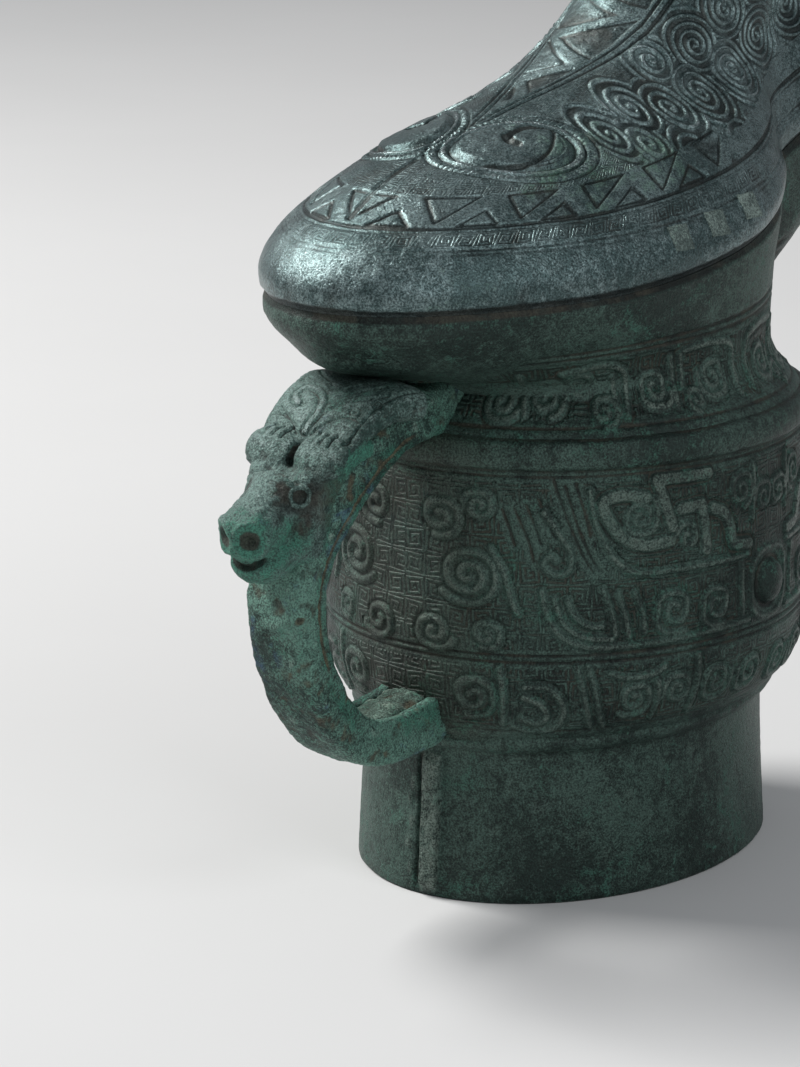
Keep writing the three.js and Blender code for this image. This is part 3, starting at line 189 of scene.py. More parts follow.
WALL_STATIONS = [
    oval_station(0, foot_base),
    oval_station(FOOT_HEIGHT * 0.5, mix(foot_base, foot_top, 0.7)),
    oval_station(FOOT_HEIGHT, foot_top),
    oval_station(belly_foot, mix(foot_top, belly, 0.28)),
    oval_station(belly_foot + BELLY_ROUNDING * 0.3, mix(foot_top, belly, 0.68)),
    oval_station(belly_foot + BELLY_ROUNDING * 0.65, mix(foot_top, belly, 0.92)),
    oval_station(belly_foot + BELLY_ROUNDING, belly),
    oval_station((belly_foot + BELLY_ROUNDING + band_foot) / 2, belly),
    oval_station(band_foot, mix(belly, neck, 0.06)),
    oval_station(band_top, mix(belly, neck, 0.24)),
    oval_station(mix(band_top, NECK_LEVEL, 0.5), mix(belly, neck, 0.74)),
    flared_station(NECK_LEVEL, neck[0] + 2, 1.8, 0, 0),
    flared_station(mix(NECK_LEVEL, lip_foot, 0.5), mix(neck[0], lip_rear, 0.62), 1.5, 0, 0.24),
    flared_station(lip_foot, lip_rear, 1.6, 0.1, 0.47),
    flared_station(lip_foot + LIP_HEIGHT * 0.4, mix(lip_rear, RIM_REAR, 0.55), 1.85, 0.4, 0.72),
    flared_station(RIM_LEVEL, RIM_REAR, 2.05, 1, 1),
]


def wall_point(level, bearing):
    """A point of the vessel's plain wall. Above the neck the whole ring leans up towards the spout."""
    sizes = np.moveaxis(through(WALL_STATIONS, level), -1, 0)
    far = mouth(bearing, *sizes)
    x = far * np.cos(bearing)
    lean = np.clip((level - NECK_LEVEL) / (RIM_LEVEL - NECK_LEVEL), 0, 1)
    z = level + SPOUT_RISE * lean * sweep_up(x, RISE_START, RIM_FRONT)
    return np.stack(np.broadcast_arrays(x, far * np.sin(bearing), z), -1)


def unit(vectors):
    """Vectors brought to the length 1."""
    return vectors / np.maximum(np.linalg.norm(vectors, axis=-1, keepdims=True), 1e-12)


def outward(surface, first, second, step):
    """The surface's outward direction at two parameters, square to its two tangents."""
    along = surface(first + step, second) - surface(first - step, second)
    turn = surface(first, second + 1e-4) - surface(first, second - 1e-4)
    return unit(np.cross(turn, along))


def wall_normal(level, bearing):
    """The wall's outward direction. Its two ends take that of a level just inside them."""
    return outward(wall_point, np.clip(level, 0.2, RIM_LEVEL - 0.2), bearing, 0.2)


def moved_out(surface, normal, levels, bearings, out):
    """Rings of a surface at levels and bearings, moved along its outward direction."""
    level, bearing = np.meshgrid(levels, bearings, indexing="ij")
    return surface(level, bearing) + np.asarray(out)[..., None] * normal(level, bearing)


def moulding(level):
    """How far the bowstring and the band stand out of the wall: two half ovals."""
    band = 1 - ((level - BAND_LEVEL) / (BAND_HEIGHT / 2)) ** 2
    string = 1 - ((level - FOOT_HEIGHT - BOWSTRING_HEIGHT / 2) / (BOWSTRING_HEIGHT / 2)) ** 2
    return BAND_PROUD * np.sqrt(np.maximum(0, band)) + BOWSTRING_PROUD * np.sqrt(np.maximum(0, string))


def even_bearings(surface, level, count):
    """Bearings that cut a ring of the surface into stretches of equal length, from the rear and round."""
    fine = np.linspace(-np.pi, np.pi, 2881)
    points = surface(np.full_like(fine, level), fine)
    run = run_along(points, 0)
    return np.interp(np.linspace(0, run[-1], count + 1)[:-1], run, fine)


def even_levels(surface, bearing, start, end, count):
    """Levels at which a meridian of the surface is cut into stretches of equal length."""
    fine = np.linspace(start, end, 1200)
    points = surface(fine, np.full_like(fine, bearing))
    run = run_along(points, 0)
    return np.interp(np.linspace(0, run[-1], count), run, fine)


def full_turn(columns):
    """Even bearings once round."""
    return np.linspace(0, 2 * np.pi, columns, endpoint=False)


def run_along(points, axis):
    """The running length along one axis of a grid of points, from 0."""
    steps = np.linalg.norm(np.diff(points, axis=axis), axis=-1)
    zero = np.zeros_like(np.take(steps, [0], axis=axis))
    return np.concatenate([zero, np.cumsum(steps, axis=axis)], axis=axis)


RIPPLE_WAVES = 10


def ripple(points, wavelength, seed):
    """A smooth unevenness from -1 to 1: waves of one length in many seeded directions, added up."""
    chance = np.random.default_rng(seed)
    total = np.zeros(points.shape[:-1])
    for _ in range(RIPPLE_WAVES):
        direction = unit(chance.normal(size=3)) * chance.uniform(0.7, 1.5)
        total += np.sin(points @ direction * (2 * np.pi / wavelength) + chance.uniform(0, 2 * np.pi))
    return total / RIPPLE_WAVES**0.5 / 1.6


def ripples(points, *waves):
    """Several ripples added up, each with its height, its wavelength and its seed."""
    return sum(height * ripple(points, wavelength, seed) for height, wavelength, seed in waves)


# Drawing on a surface laid flat: strokes are lines of points, in millimetres


def curve(*corners, count=28):
    """A smooth line through a few corners."""
    corners = np.asarray(corners, float)
    steps = np.linalg.norm(np.diff(corners, axis=0), axis=1) ** 0.5
    level = np.concatenate([[0], np.cumsum(steps)])
    return through(np.column_stack([level, corners]), np.linspace(0, level[-1], count))


def line(*corners):
    """A stroke of straight stretches through its corners."""
    return np.asarray(corners, float)


def spiral(at, inner, outer, turns, start=0.0, hand=1, square=2.6, count=60):
    """A spiral from an inner to an outer radius. A higher square makes its turns more like squares."""
    share = np.linspace(0, 1, count)
    angle = np.radians(start) + hand * 2 * np.pi * turns * share
    radius = mix(inner, outer, share) * reach(angle, 1, 1, square)
    return np.column_stack([at[0] + radius * np.cos(angle), at[1] + radius * np.sin(angle)])


def flipped(strokes):
    """The same strokes mirrored across the first coordinate's zero."""
    return [stroke * [-1, 1] for stroke in strokes]


def distance(plan, strokes, within):
    """The distance from each point of the plan to the nearest stroke, where that is below a limit."""
    nearest = np.full(plan.shape[:-1], float(within))
    for stroke in strokes:
        low, high = stroke.min(0) - within, stroke.max(0) + within
        near = ((plan >= low) & (plan <= high)).all(-1)
        spots = plan[near][:, None]
        start, run = stroke[:-1], np.diff(stroke, axis=0)
        share = ((spots - start) * run).sum(-1) / np.maximum((run**2).sum(-1), 1e-9)
        gap = np.linalg.norm(spots - start - np.clip(share, 0, 1)[..., None] * run, axis=-1)
        nearest[near] = np.minimum(nearest[near], gap.min(1) if gap.size else within)
    return nearest


def ink(plan, strokes, width, soft=0.5):
    """1 along strokes of a width, falling smoothly to 0 over a soft edge."""
    gap = distance(plan, strokes, width / 2 + soft)
    return smooth((width / 2 + soft - gap) / (2 * soft))


def rims(plan, strokes, off, width, soft=0.4):
    """1 along the two lines that run beside each stroke at an offset."""
    gap = distance(plan, strokes, off + width + soft)
    return smooth((width / 2 + soft - np.abs(gap - off)) / (2 * soft))


def facet(plan, corners, soft=0.5):
    """1 inside a convex outline, falling to 0 across its edges."""
    corners = np.asarray(corners, float)
    low, high = corners.min(0) - soft, corners.max(0) + soft
    near = ((plan >= low) & (plan <= high)).all(-1)
    after = np.roll(corners, -1, axis=0)
    run = after - corners
    area = np.sum(corners[:, 0] * after[:, 1] - corners[:, 1] * after[:, 0])
    normal = unit(np.column_stack([run[:, 1], -run[:, 0]])) * np.sign(area)
    out = ((plan[near][:, None] - corners) * normal).sum(-1).max(-1)
    mask = np.zeros(plan.shape[:-1])
    mask[near] = smooth(0.5 - out / (2 * soft))
    return mask


# Putting surfaces into meshes


NO_TRIANGLES = np.zeros((0, 3), int)


def ring_faces(rings, columns, joined):
    """Quads between neighbouring rings. Joined rings go round and meet again."""
    i = np.arange(rings if joined else rings - 1)[:, None] * columns
    j = np.arange(columns)[None, :]
    there = (i + columns) % (rings * columns)
    turn = (j + 1) % columns
    return np.stack(np.broadcast_arrays(i + j, i + turn, there + turn, there + j), -1).reshape(-1, 4)


def closed_loft(rings):
    """Points and faces of rings that are closed at both ends by a fan about the middle."""
    count, columns = rings.shape[:2]
    quads = ring_faces(count, columns, False)
    j = np.arange(columns)
    turn = (j + 1) % columns
    last, first_middle = (count - 1) * columns, count * columns
    points = np.concatenate([rings.reshape(-1, 3), [rings[0].mean(0), rings[-1].mean(0)]])
    triangles = np.concatenate([
        np.column_stack([turn, j, np.full(columns, first_middle)]),
        np.column_stack([last + j, last + turn, np.full(columns, first_middle + 1)]),
    ])
    return points, quads, triangles


def put(name, data):
    """A new object in the scene."""
    thing = bpy.data.objects.new(name, data)
    bpy.context.scene.collection.objects.link(thing)
    return thing


def add_mesh(
    name, points, quads, triangles, body, material, replaced=(), marks=None, corners=None, creased=None,
):
    """A piece from points in millimetres, its faces turned outwards, riding on a body with its finish.

    Points with the same number above 0 in the creased list are joined by sharp edges.
    """
    spots = np.concatenate([quads[:, [0, 1, 2]], quads[:, [0, 2, 3]], triangles]).astype(int)
    a, b, c = points[spots[:, 0]], points[spots[:, 1]], points[spots[:, 2]]
    if np.einsum("ij,ij->", a, np.cross(b, c)) < 0:
        quads, triangles = quads[:, ::-1], triangles[:, ::-1]
        corners = None if corners is None else corners[:, ::-1]
    mesh = bpy.data.meshes.new(name)
    place = (points + [AXIS_X, 0, 0]) * MM
    mesh.from_pydata(place.tolist(), [], quads.tolist() + triangles.tolist())
    for mark, values in (marks or {}).items():
        spare = len(points) - values.size
        layer = mesh.attributes.new(mark, "FLOAT", "POINT")
        layer.data.foreach_set("value", np.concatenate([values.ravel(), np.zeros(spare)]).astype(np.float32))
    if corners is not None:
        layer = mesh.uv_layers.new(name="unrolled")
        flat = np.zeros((len(mesh.loops), 2), np.float32)
        flat[: corners.shape[0] * 4] = corners.reshape(-1, 2)
        layer.data.foreach_set("uv", flat.ravel())
    mesh.polygons.foreach_set("use_smooth", np.ones(len(mesh.polygons), bool))
    if creased is not None:
        ends = np.empty(len(mesh.edges) * 2, np.int32)
        mesh.edges.foreach_get("vertices", ends)
        first, second = creased[ends.reshape(-1, 2)].T
        layer = mesh.attributes.new("sharp_edge", "BOOLEAN", "EDGE")
        layer.data.foreach_set("value", (first > 0) & (first == second))
    mesh.materials.append(material)
    thing = put(name, mesh)
    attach(thing, body)
    if replaced:
        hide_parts(*replaced)
    return thing


def add_loft(
    name, rings, body, material, joined=False, replaced=(), marks=None, unrolled=None, sharp=(),
):
    """A piece through rings of points: joined into a loop, or closed at both ends by a fan about the middle.

    The unrolled plan has one more column than the rings, so that a pattern runs on across the seam. The rings
    listed as sharp are creases.
    """
    count, columns = rings.shape[:2]
    if joined:
        points, quads, triangles = rings.reshape(-1, 3), ring_faces(count, columns, True), NO_TRIANGLES
    else:
        points, quads, triangles = closed_loft(rings)
    corners = None
    if unrolled is not None:
        i = np.arange(count if joined else count - 1)
        low, high = unrolled[i], unrolled[(i + 1) % count]
        corners = np.stack([low[:, :-1], low[:, 1:], high[:, 1:], high[:, :-1]], 2).reshape(-1, 4, 2)
    creased = np.zeros(len(points), int)
    for number, ring in enumerate(sharp):
        creased[ring * columns : (ring + 1) * columns] = number + 1
    return add_mesh(name, points, quads, triangles, body, material, replaced, marks, corners, creased)


# Finishes


def node_of(tree, kind, values=None, **settings):
    """A shader node with its settings and the values of its inputs."""
    made = tree.nodes.new(kind)
    for name, value in settings.items():
        setattr(made, name, value)
    for name, value in (values or {}).items():
        made.inputs[name].default_value = value
    return made


def math_node(tree, operation, *inputs, clamp=False):
    """A Math node fed by sockets or numbers. Returns its output."""
    made = node_of(tree, "ShaderNodeMath", operation=operation, use_clamp=clamp)
    for socket, value in zip(made.inputs, inputs):
        if isinstance(value, (int, float)):
            socket.default_value = value
        else:
            tree.links.new(value, socket)
    return made.outputs[0]


def times(tree, first, second, clamp=False):
    """The product of two sockets or numbers."""
    return math_node(tree, "MULTIPLY", first, second, clamp=clamp)


def plus(tree, first, second, clamp=False):
    """The sum of two sockets or numbers."""
    return math_node(tree, "ADD", first, second, clamp=clamp)


def minus(tree, first, second):
    """The first less the second, each a socket or a number."""
    return math_node(tree, "SUBTRACT", first, second)


def mark_of(tree, mark):
    """The value of a mark that the mesh carries on its points."""
    return node_of(tree, "ShaderNodeAttribute", attribute_name=mark).outputs["Fac"]


def ramp_of(tree, source, low, high):
    """0 to 1, smoothly, as the source goes from low to high."""
    made = node_of(tree, "ShaderNodeMapRange", interpolation_type="SMOOTHSTEP")
    tree.links.new(source, made.inputs["Value"])
    made.inputs["From Min"].default_value = low
    made.inputs["From Max"].default_value = high
    return made.outputs["Result"]


def blend_colour(tree, share, first, second):
    """A colour between two, by a share. Each may be a socket or a colour."""
    made = node_of(tree, "ShaderNodeMix", data_type="RGBA")
    for socket, value in ((made.inputs[0], share), (made.inputs[6], first), (made.inputs[7], second)):
        if isinstance(value, (int, float)):
            socket.default_value = value
        elif isinstance(value, tuple):
            socket.default_value = (*value, 1.0)
        else:
            tree.links.new(value, socket)
    return made.outputs[2]


def weighted(tree, *pairs):
    """A sum of sockets, each times its own number."""
    total = None
    for source, share in pairs:
        part = times(tree, source, share)
        total = part if total is None else plus(tree, total, part)
    return total


def shaded(tree, colour, factor):
    """A colour made darker or lighter by a factor."""
    made = node_of(tree, "ShaderNodeVectorMath", operation="SCALE")
    tree.links.new(colour, made.inputs[0])
    tree.links.new(factor, made.inputs["Scale"])
    return made.outputs[0]


def noise_of(tree, place, scale, detail=5.0, roughness=0.55, distortion=0.0):
    """Cloud-like noise at a scale per metre."""
    made = node_of(
        tree, "ShaderNodeTexNoise",
        {"Scale": scale, "Detail": detail, "Roughness": roughness, "Distortion": distortion},
    )
    tree.links.new(place, made.inputs["Vector"])
    return made.outputs["Fac"]


def new_group(name, inputs, outputs):
    """An empty shader group with named sockets, and its two end nodes."""
    group = bpy.data.node_groups.new(name, "ShaderNodeTree")
    for socket, kind, value in inputs:
        made = group.interface.new_socket(name=socket, in_out="INPUT", socket_type=kind)
        if value is not None:
            made.default_value = value
    for socket, kind in outputs:
        group.interface.new_socket(name=socket, in_out="OUTPUT", socket_type=kind)
    return group, group.nodes.new("NodeGroupInput"), group.nodes.new("NodeGroupOutput")


def thunder_group():
    """Thunder pattern: square spirals in a grid of cells, every other one turned the other way.

    In each cell the larger of |x| and |y| is the ring and the angle about the middle is the turn. Their sum,
    cut to its fraction, makes the spiral line, which stands up from its ground.
    """
    group, given, out = new_group(
        "thunder_pattern",
        [
            ("Plan", "NodeSocketVector", None), ("Cell", "NodeSocketFloat", 0.0066),
            ("Turns", "NodeSocketFloat", 2.4),
        ],
        [("Height", "NodeSocketFloat")],
    )
    scaled = node_of(group, "ShaderNodeVectorMath", operation="DIVIDE")
    group.links.new(given.outputs["Plan"], scaled.inputs[0])
    size = node_of(group, "ShaderNodeCombineXYZ")
    for axis in "XYZ":
        group.links.new(given.outputs["Cell"], size.inputs[axis])
    group.links.new(size.outputs[0], scaled.inputs[1])
    split = node_of(group, "ShaderNodeSeparateXYZ")
    group.links.new(scaled.outputs[0], split.inputs[0])
    across, up = split.outputs["X"], split.outputs["Y"]
    x = minus(group, math_node(group, "FRACT", across), 0.5)
    y = minus(group, math_node(group, "FRACT", up), 0.5)
    parity = plus(group, math_node(group, "FLOOR", across), math_node(group, "FLOOR", up))
    hand = minus(group, times(group, math_node(group, "PINGPONG", parity, 1.0), 2.0), 1.0)
    ring = math_node(group, "MAXIMUM", math_node(group, "ABSOLUTE", x), math_node(group, "ABSOLUTE", y))
    turn = math_node(group, "DIVIDE", math_node(group, "ARCTAN2", y, times(group, x, hand)), 2 * np.pi)
    wound = plus(group, times(group, ring, times(group, given.outputs["Turns"], 2.0)), turn)
    stripe = math_node(group, "ABSOLUTE", minus(group, math_node(group, "FRACT", wound), 0.5))
    group.links.new(ramp_of(group, stripe, 0.16, 0.34), out.inputs["Height"])
    return group


PATINA_COLOURS = ("Deep", "Pale", "Worn", "Green", "Blue", "Earth")
PATINA_SHARES = ("Green Share", "Blue Share", "Earth Share")


def patina_group():
    """Old bronze from the ground: two patina tones, two crusts, painted shade in recesses, earth and worn
    heights.

    Large clouds and fine grain share the surface between two patina colours. Smaller clouds, cut hard, lay
    malachite and azurite crusts. The relief mark, in millimetres, paints shade into what is low, lays earth
    there in patches and wears what is high. The soil and bloom marks bring earth and green to chosen places.
    """
    group, given, out = new_group(
        "bronze_patina",
        [(name, "NodeSocketColor", (0.1, 0.14, 0.13, 1)) for name in PATINA_COLOURS]
        + [(name, "NodeSocketFloat", 0.0) for name in ("Relief", "Soil", "Bloom", *PATINA_SHARES)],
        [("Color", "NodeSocketColor")] + [(name, "NodeSocketFloat") for name in ("Crust", "Wear", "Height")],
    )
    place = node_of(group, "ShaderNodeTexCoord").outputs["Object"]
    clouds = noise_of(group, place, 26, 7, 0.62, 0.4)
    patches = noise_of(group, place, 60, 8, 0.68, 0.7)
    grain = noise_of(group, place, 430, 6, 0.7)
    speckle = noise_of(group, place, 1900, 4, 0.65)
    tone = weighted(group, (clouds, 0.45), (grain, 0.33), (speckle, 0.22))
    colour = blend_colour(
        group, ramp_of(group, tone, 0.435, 0.565), given.outputs["Deep"], given.outputs["Pale"],
    )
    rubbed = ramp_of(group, weighted(group, (grain, 0.6), (speckle, 0.4)), 0.40, 0.57)
    wear = times(group, ramp_of(group, given.outputs["Relief"], 0.2, 0.7), rubbed)
    colour = blend_colour(group, wear, colour, given.outputs["Worn"])
    crumbs = weighted(group, (patches, 0.5), (grain, 0.32), (speckle, 0.18), (given.outputs["Bloom"], 0.2))
    green_from = minus(group, 0.68, times(group, given.outputs["Green Share"], 0.4))
    green = times(group, minus(group, crumbs, green_from), 7.0, clamp=True)
    colour = blend_colour(group, green, colour, given.outputs["Green"])
    drift = node_of(group, "ShaderNodeVectorMath", operation="ADD")
    drift.inputs[1].default_value = (3.1, 1.7, 0.4)
    group.links.new(place, drift.inputs[0])
    islands = noise_of(group, drift.outputs[0], 70, 7, 0.66, 0.5)
    blue_from = minus(group, 0.76, times(group, given.outputs["Blue Share"], 0.5))
    blue = times(group, minus(group, islands, blue_from), 8.0, clamp=True)
    colour = blend_colour(group, blue, colour, given.outputs["Blue"])
    # Painted shade: the colour is darkened where the relief mark is low, standing in for shadow in the
    # recesses.
    low = ramp_of(group, given.outputs["Relief"], -0.08, -0.45)
    colour = shaded(group, colour, minus(group, 1.0, times(group, low, 0.72)))
    dust = times(group, times(group, low, given.outputs["Earth Share"]), ramp_of(group, patches, 0.42, 0.58))
    lumps = ramp_of(group, weighted(group, (patches, 0.6), (grain, 0.4)), 0.36, 0.52)
    laid = math_node(group, "MAXIMUM", dust, times(group, given.outputs["Soil"], lumps))
    colour = blend_colour(group, laid, colour, given.outputs["Earth"])
    flecks = times(group, ramp_of(group, speckle, 0.36, 0.62), 0.8)
    colour = shaded(group, colour, plus(group, flecks, 0.52))
    crust = math_node(group, "MAXIMUM", green, math_node(group, "MAXIMUM", blue, laid))
    pits = node_of(group, "ShaderNodeTexVoronoi", {"Scale": 620.0, "Randomness": 1.0}, feature="F1")
    group.links.new(place, pits.inputs["Vector"])
    hole = ramp_of(group, pits.outputs["Distance"], 0.1, 0.36)
    height = weighted(group, (grain, 1.0), (speckle, 0.55), (hole, 0.3), (crust, 0.3))
    for socket, value in (("Color", colour), ("Crust", crust), ("Wear", wear), ("Height", height)):
        group.links.new(value, out.inputs[socket])
    return group


THUNDER = thunder_group()
PATINA = patina_group()


CRUST_DULLS, CRUST_ROUGHENS, WEAR_POLISHES, GROUND_SHADE_AND_EARTH_SINK = 0.85, 0.22, 0.16, 0.3


def bronze(name, colours, shares, metal, rough, bump, cell=0.006, thunder=0.0):
    """A patinated bronze: the patina group colours it, and its crusts turn the metal dull and rough.

    Colours and shares go in the order of the group's sockets. Where the surface has a ground mark, the
    thunder pattern stands up by the given height in millimetres, in cells of a given size in metres, and the
    ground between its lines counts as low, so that the patina paints shade and lays earth there.
    """
    material = bpy.data.materials.new(name)
    material.use_nodes = True
    tree = material.node_tree
    tree.nodes.clear()
    surface = node_of(tree, "ShaderNodeOutputMaterial")
    metal_node = node_of(tree, "ShaderNodeBsdfPrincipled")
    tree.links.new(metal_node.outputs[0], surface.inputs["Surface"])
    patina = node_of(tree, "ShaderNodeGroup")
    patina.node_tree = PATINA
    for socket, colour in zip(PATINA_COLOURS, colours):
        patina.inputs[socket].default_value = (*colour, 1.0)
    for socket, share in zip(PATINA_SHARES, shares):
        patina.inputs[socket].default_value = share
    for mark in ("soil", "bloom"):
        tree.links.new(mark_of(tree, mark), patina.inputs[mark.capitalize()])
    relief = mark_of(tree, "relief")
    height = times(tree, patina.outputs["Height"], bump)
    if thunder:
        plan = node_of(tree, "ShaderNodeUVMap", uv_map="unrolled")
        pattern = node_of(tree, "ShaderNodeGroup")
        pattern.node_tree = THUNDER
        pattern.inputs["Cell"].default_value = cell
        tree.links.new(plan.outputs[0], pattern.inputs["Plan"])
        ground = mark_of(tree, "ground")
        line_up = times(tree, pattern.outputs["Height"], ground)
        height = plus(tree, height, times(tree, line_up, thunder))
        # Painted shade: the ground between the raised lines is lowered in the relief mark only, so the patina
        # darkens it and lays earth there.
        sunk = times(tree, minus(tree, ground, line_up), GROUND_SHADE_AND_EARTH_SINK)
        relief = minus(tree, relief, sunk)
    tree.links.new(relief, patina.inputs["Relief"])
    tree.links.new(patina.outputs["Color"], metal_node.inputs["Base Color"])
    dull = minus(tree, 1.0, times(tree, patina.outputs["Crust"], CRUST_DULLS))
    tree.links.new(times(tree, dull, metal), metal_node.inputs["Metallic"])
    worn = minus(tree, rough, times(tree, patina.outputs["Wear"], WEAR_POLISHES))
    coarse = plus(tree, worn, times(tree, patina.outputs["Crust"], CRUST_ROUGHENS), clamp=True)
    tree.links.new(coarse, metal_node.inputs["Roughness"])
    bumped = node_of(tree, "ShaderNodeBump", {"Strength": 1.0, "Distance": MM})
    tree.links.new(height, bumped.inputs["Height"])
    tree.links.new(bumped.outputs["Normal"], metal_node.inputs["Normal"])
    return material


VESSEL_BRONZE = bronze(
    "vessel_bronze",
    (
        (0.011, 0.026, 0.021), (0.05, 0.093, 0.076), (0.105, 0.142, 0.12),
        (0.03, 0.125, 0.088), (0.022, 0.055, 0.075), (0.05, 0.046, 0.03),
    ),
    shares=(0.36, 0.16, 0.55), metal=0.45, rough=0.48, bump=0.4, cell=0.0066, thunder=0.36,
)
LID_COLOURS = (
    (0.058, 0.094, 0.094), (0.165, 0.225, 0.226), (0.33, 0.395, 0.4),
    (0.05, 0.13, 0.08), (0.05, 0.095, 0.13), (0.05, 0.05, 0.04),
)
LID_BRONZE = bronze(
    "lid_bronze", LID_COLOURS, shares=(0.26, 0.14, 0.3), metal=0.75, rough=0.3, bump=0.26, cell=0.0052,
    thunder=0.16,
)
HEAD_BRONZE = bronze("head_bronze", LID_COLOURS, shares=(0.26, 0.14, 0.5), metal=0.55, rough=0.46, bump=0.34)
HANDLE_BRONZE = bronze(
    "handle_bronze",
    (
        (0.009, 0.036, 0.028), (0.115, 0.24, 0.19), (0.26, 0.37, 0.31),
        (0.035, 0.175, 0.12), (0.04, 0.09, 0.16), (0.13, 0.115, 0.07),
    ),
    shares=(0.34, 0.36, 0.55), metal=0.2, rough=0.6, bump=0.75,
)
OX_BRONZE = bronze(
    "ox_bronze",
    (
        (0.022, 0.056, 0.047), (0.13, 0.205, 0.185), (0.28, 0.355, 0.345),
        (0.045, 0.18, 0.128), (0.07, 0.115, 0.16), (0.045, 0.04, 0.028),
    ),
    shares=(0.37, 0.24, 0.6), metal=0.35, rough=0.48, bump=0.7,
)
SPACER_BRONZE = bronze(
    "spacer_bronze",
    (
        (0.08, 0.115, 0.105), (0.2, 0.26, 0.235), (0.34, 0.4, 0.37),
        (0.07, 0.2, 0.15), (0.06, 0.12, 0.16), (0.12, 0.11, 0.08),
    ),
    shares=(0.3, 0.1, 0.4), metal=0.3, rough=0.6, bump=0.3,
)
CRUSTED_CLAY = bronze(
    "crusted_clay",
    (
        (0.045, 0.08, 0.062), (0.15, 0.235, 0.19), (0.3, 0.37, 0.3),
        (0.05, 0.2, 0.14), (0.08, 0.13, 0.19), (0.14, 0.115, 0.07),
    ),
    shares=(0.4, 0.12, 0.5), metal=0.0, rough=0.9, bump=0.9,
)
FIRED_CLAY = bronze(
    "fired_clay",
    (
        (0.10, 0.072, 0.045), (0.27, 0.20, 0.125), (0.33, 0.25, 0.16),
        (0.10, 0.19, 0.13), (0.16, 0.14, 0.11), (0.3, 0.22, 0.12),
    ),
    shares=(0.25, 0.05, 0.4), metal=0.0, rough=0.92, bump=0.6,
)


# Vessel

SKIN, SEAM_LINER = 1.6, 1.5
SHELL_COLUMNS, BELLY_COLUMNS, NECK_COLUMNS = 360, 980, 900
BAND_WIDTH, ROD_WIDTH, QUILL_WIDTH, STROKE_SOFT, QUILL_SOFT = 3.3, 1.5, 0.8, 0.34, 0.32
BELLY_RISE, BELLY_CUT, NECK_RISE, NECK_CUT, ROD_CUT_SHARE = 0.68, 0.6, 0.52, 0.55, 0.7
GROUND_GAP, BOSS_FRAME, BOSS_FIELD = 1.8, 9.6, 11.6


def wall_rings(levels, bearings, out=0.0):
    """Rings of the wall at levels and bearings, moved out by a distance or a grid of distances."""
    return moved_out(wall_point, wall_normal, levels, bearings, out)


def oval_ring(middle, length, half, height, bearings):
    """A level oval ring at one height, about a middle on the length's axis."""
    far = reach(bearings, length, half, 2)
    x, y = middle + far * np.cos(bearings), far * np.sin(bearings)
    return np.column_stack([x, y, np.full(len(bearings), height)])


def flat_ring(level, height, inset, bearings):
    """An upright wall's ring at one height, drawn in from the oval of a level."""
    sizes = through(WALL_STATIONS, level)
    return oval_ring(0, sizes[0] - inset, sizes[2] - inset, height, bearings)


def laid_flat(middle_ring, levels):
    """A skin's plan laid flat, in metres: round its middle ring with one column more, and up by level."""
    around = run_along(np.concatenate([middle_ring, middle_ring[:1]]), 0)
    return np.stack(np.broadcast_arrays(around[None], levels[:, None]), -1) * MM


def with_back(marks, rings):
    """A skin's marks, with zeros for the rings that close it behind."""
    columns = next(iter(marks.values())).shape[1]
    return {mark: np.concatenate([values, np.zeros((rings, columns))]) for mark, values in marks.items()}


def seam_bearings():
    """Even steps round the foot, and finer ones about the seam behind."""
    even, fine = even_bearings(wall_point, FOOT_HEIGHT / 2, SHELL_COLUMNS), np.linspace(0, 0.16, 41)
    elsewhere = even[np.abs(even) < np.pi - fine[-1] - 0.004]
    return np.sort(np.concatenate([elsewhere, fine[:-1] - np.pi, np.pi - fine[1:]]))


def seam_relief(points, level):
    """The mould's seam up the back of the foot: a ragged rib, a groove beside it and nodules along that."""
    behind = (
        (points[..., 0] < 0) * smooth((level - SEAM_RIB_MARGIN) / 2)
        * smooth((FOOT_HEIGHT - SEAM_RIB_MARGIN - level) / 2)
    )
    uneven = ripple(points, 7, 3)
    beside = np.abs(points[..., 1] - SEAM_RIB_ASIDE) + 0.25 * uneven
    rib = (
        SEAM_RIB_PROUD * smooth((SEAM_RIB_WIDTH / 2 + 0.45 - beside) / 0.9)
        * (1 + 0.12 * ripple(points, 4, 5))
    )
    off = np.abs(points[..., 1] - SEAM_GROOVE_ASIDE - 0.3 * uneven)
    groove = SEAM_GROOVE_DEPTH * smooth((SEAM_GROOVE_WIDTH / 2 + 0.5 - off) / 0.9)
    nodules = sum(smooth(1.1 - np.hypot(points[..., 1] - aside, level - up) / size) for aside, up, size in (
        (2.0, 20, 2.0), (2.9, 13.8, 2.2), (2.2, 7.0, 1.7), (2.2, 31, 1.5), (3.0, 26, 1.2),
    ))
    return behind * (rib - groove + 0.9 * nodules)


HAIR = 0.1
FLOOR_ROUNDING = ((0.985, 4.5), (0.94, 1.5), (0.82, -HAIR))


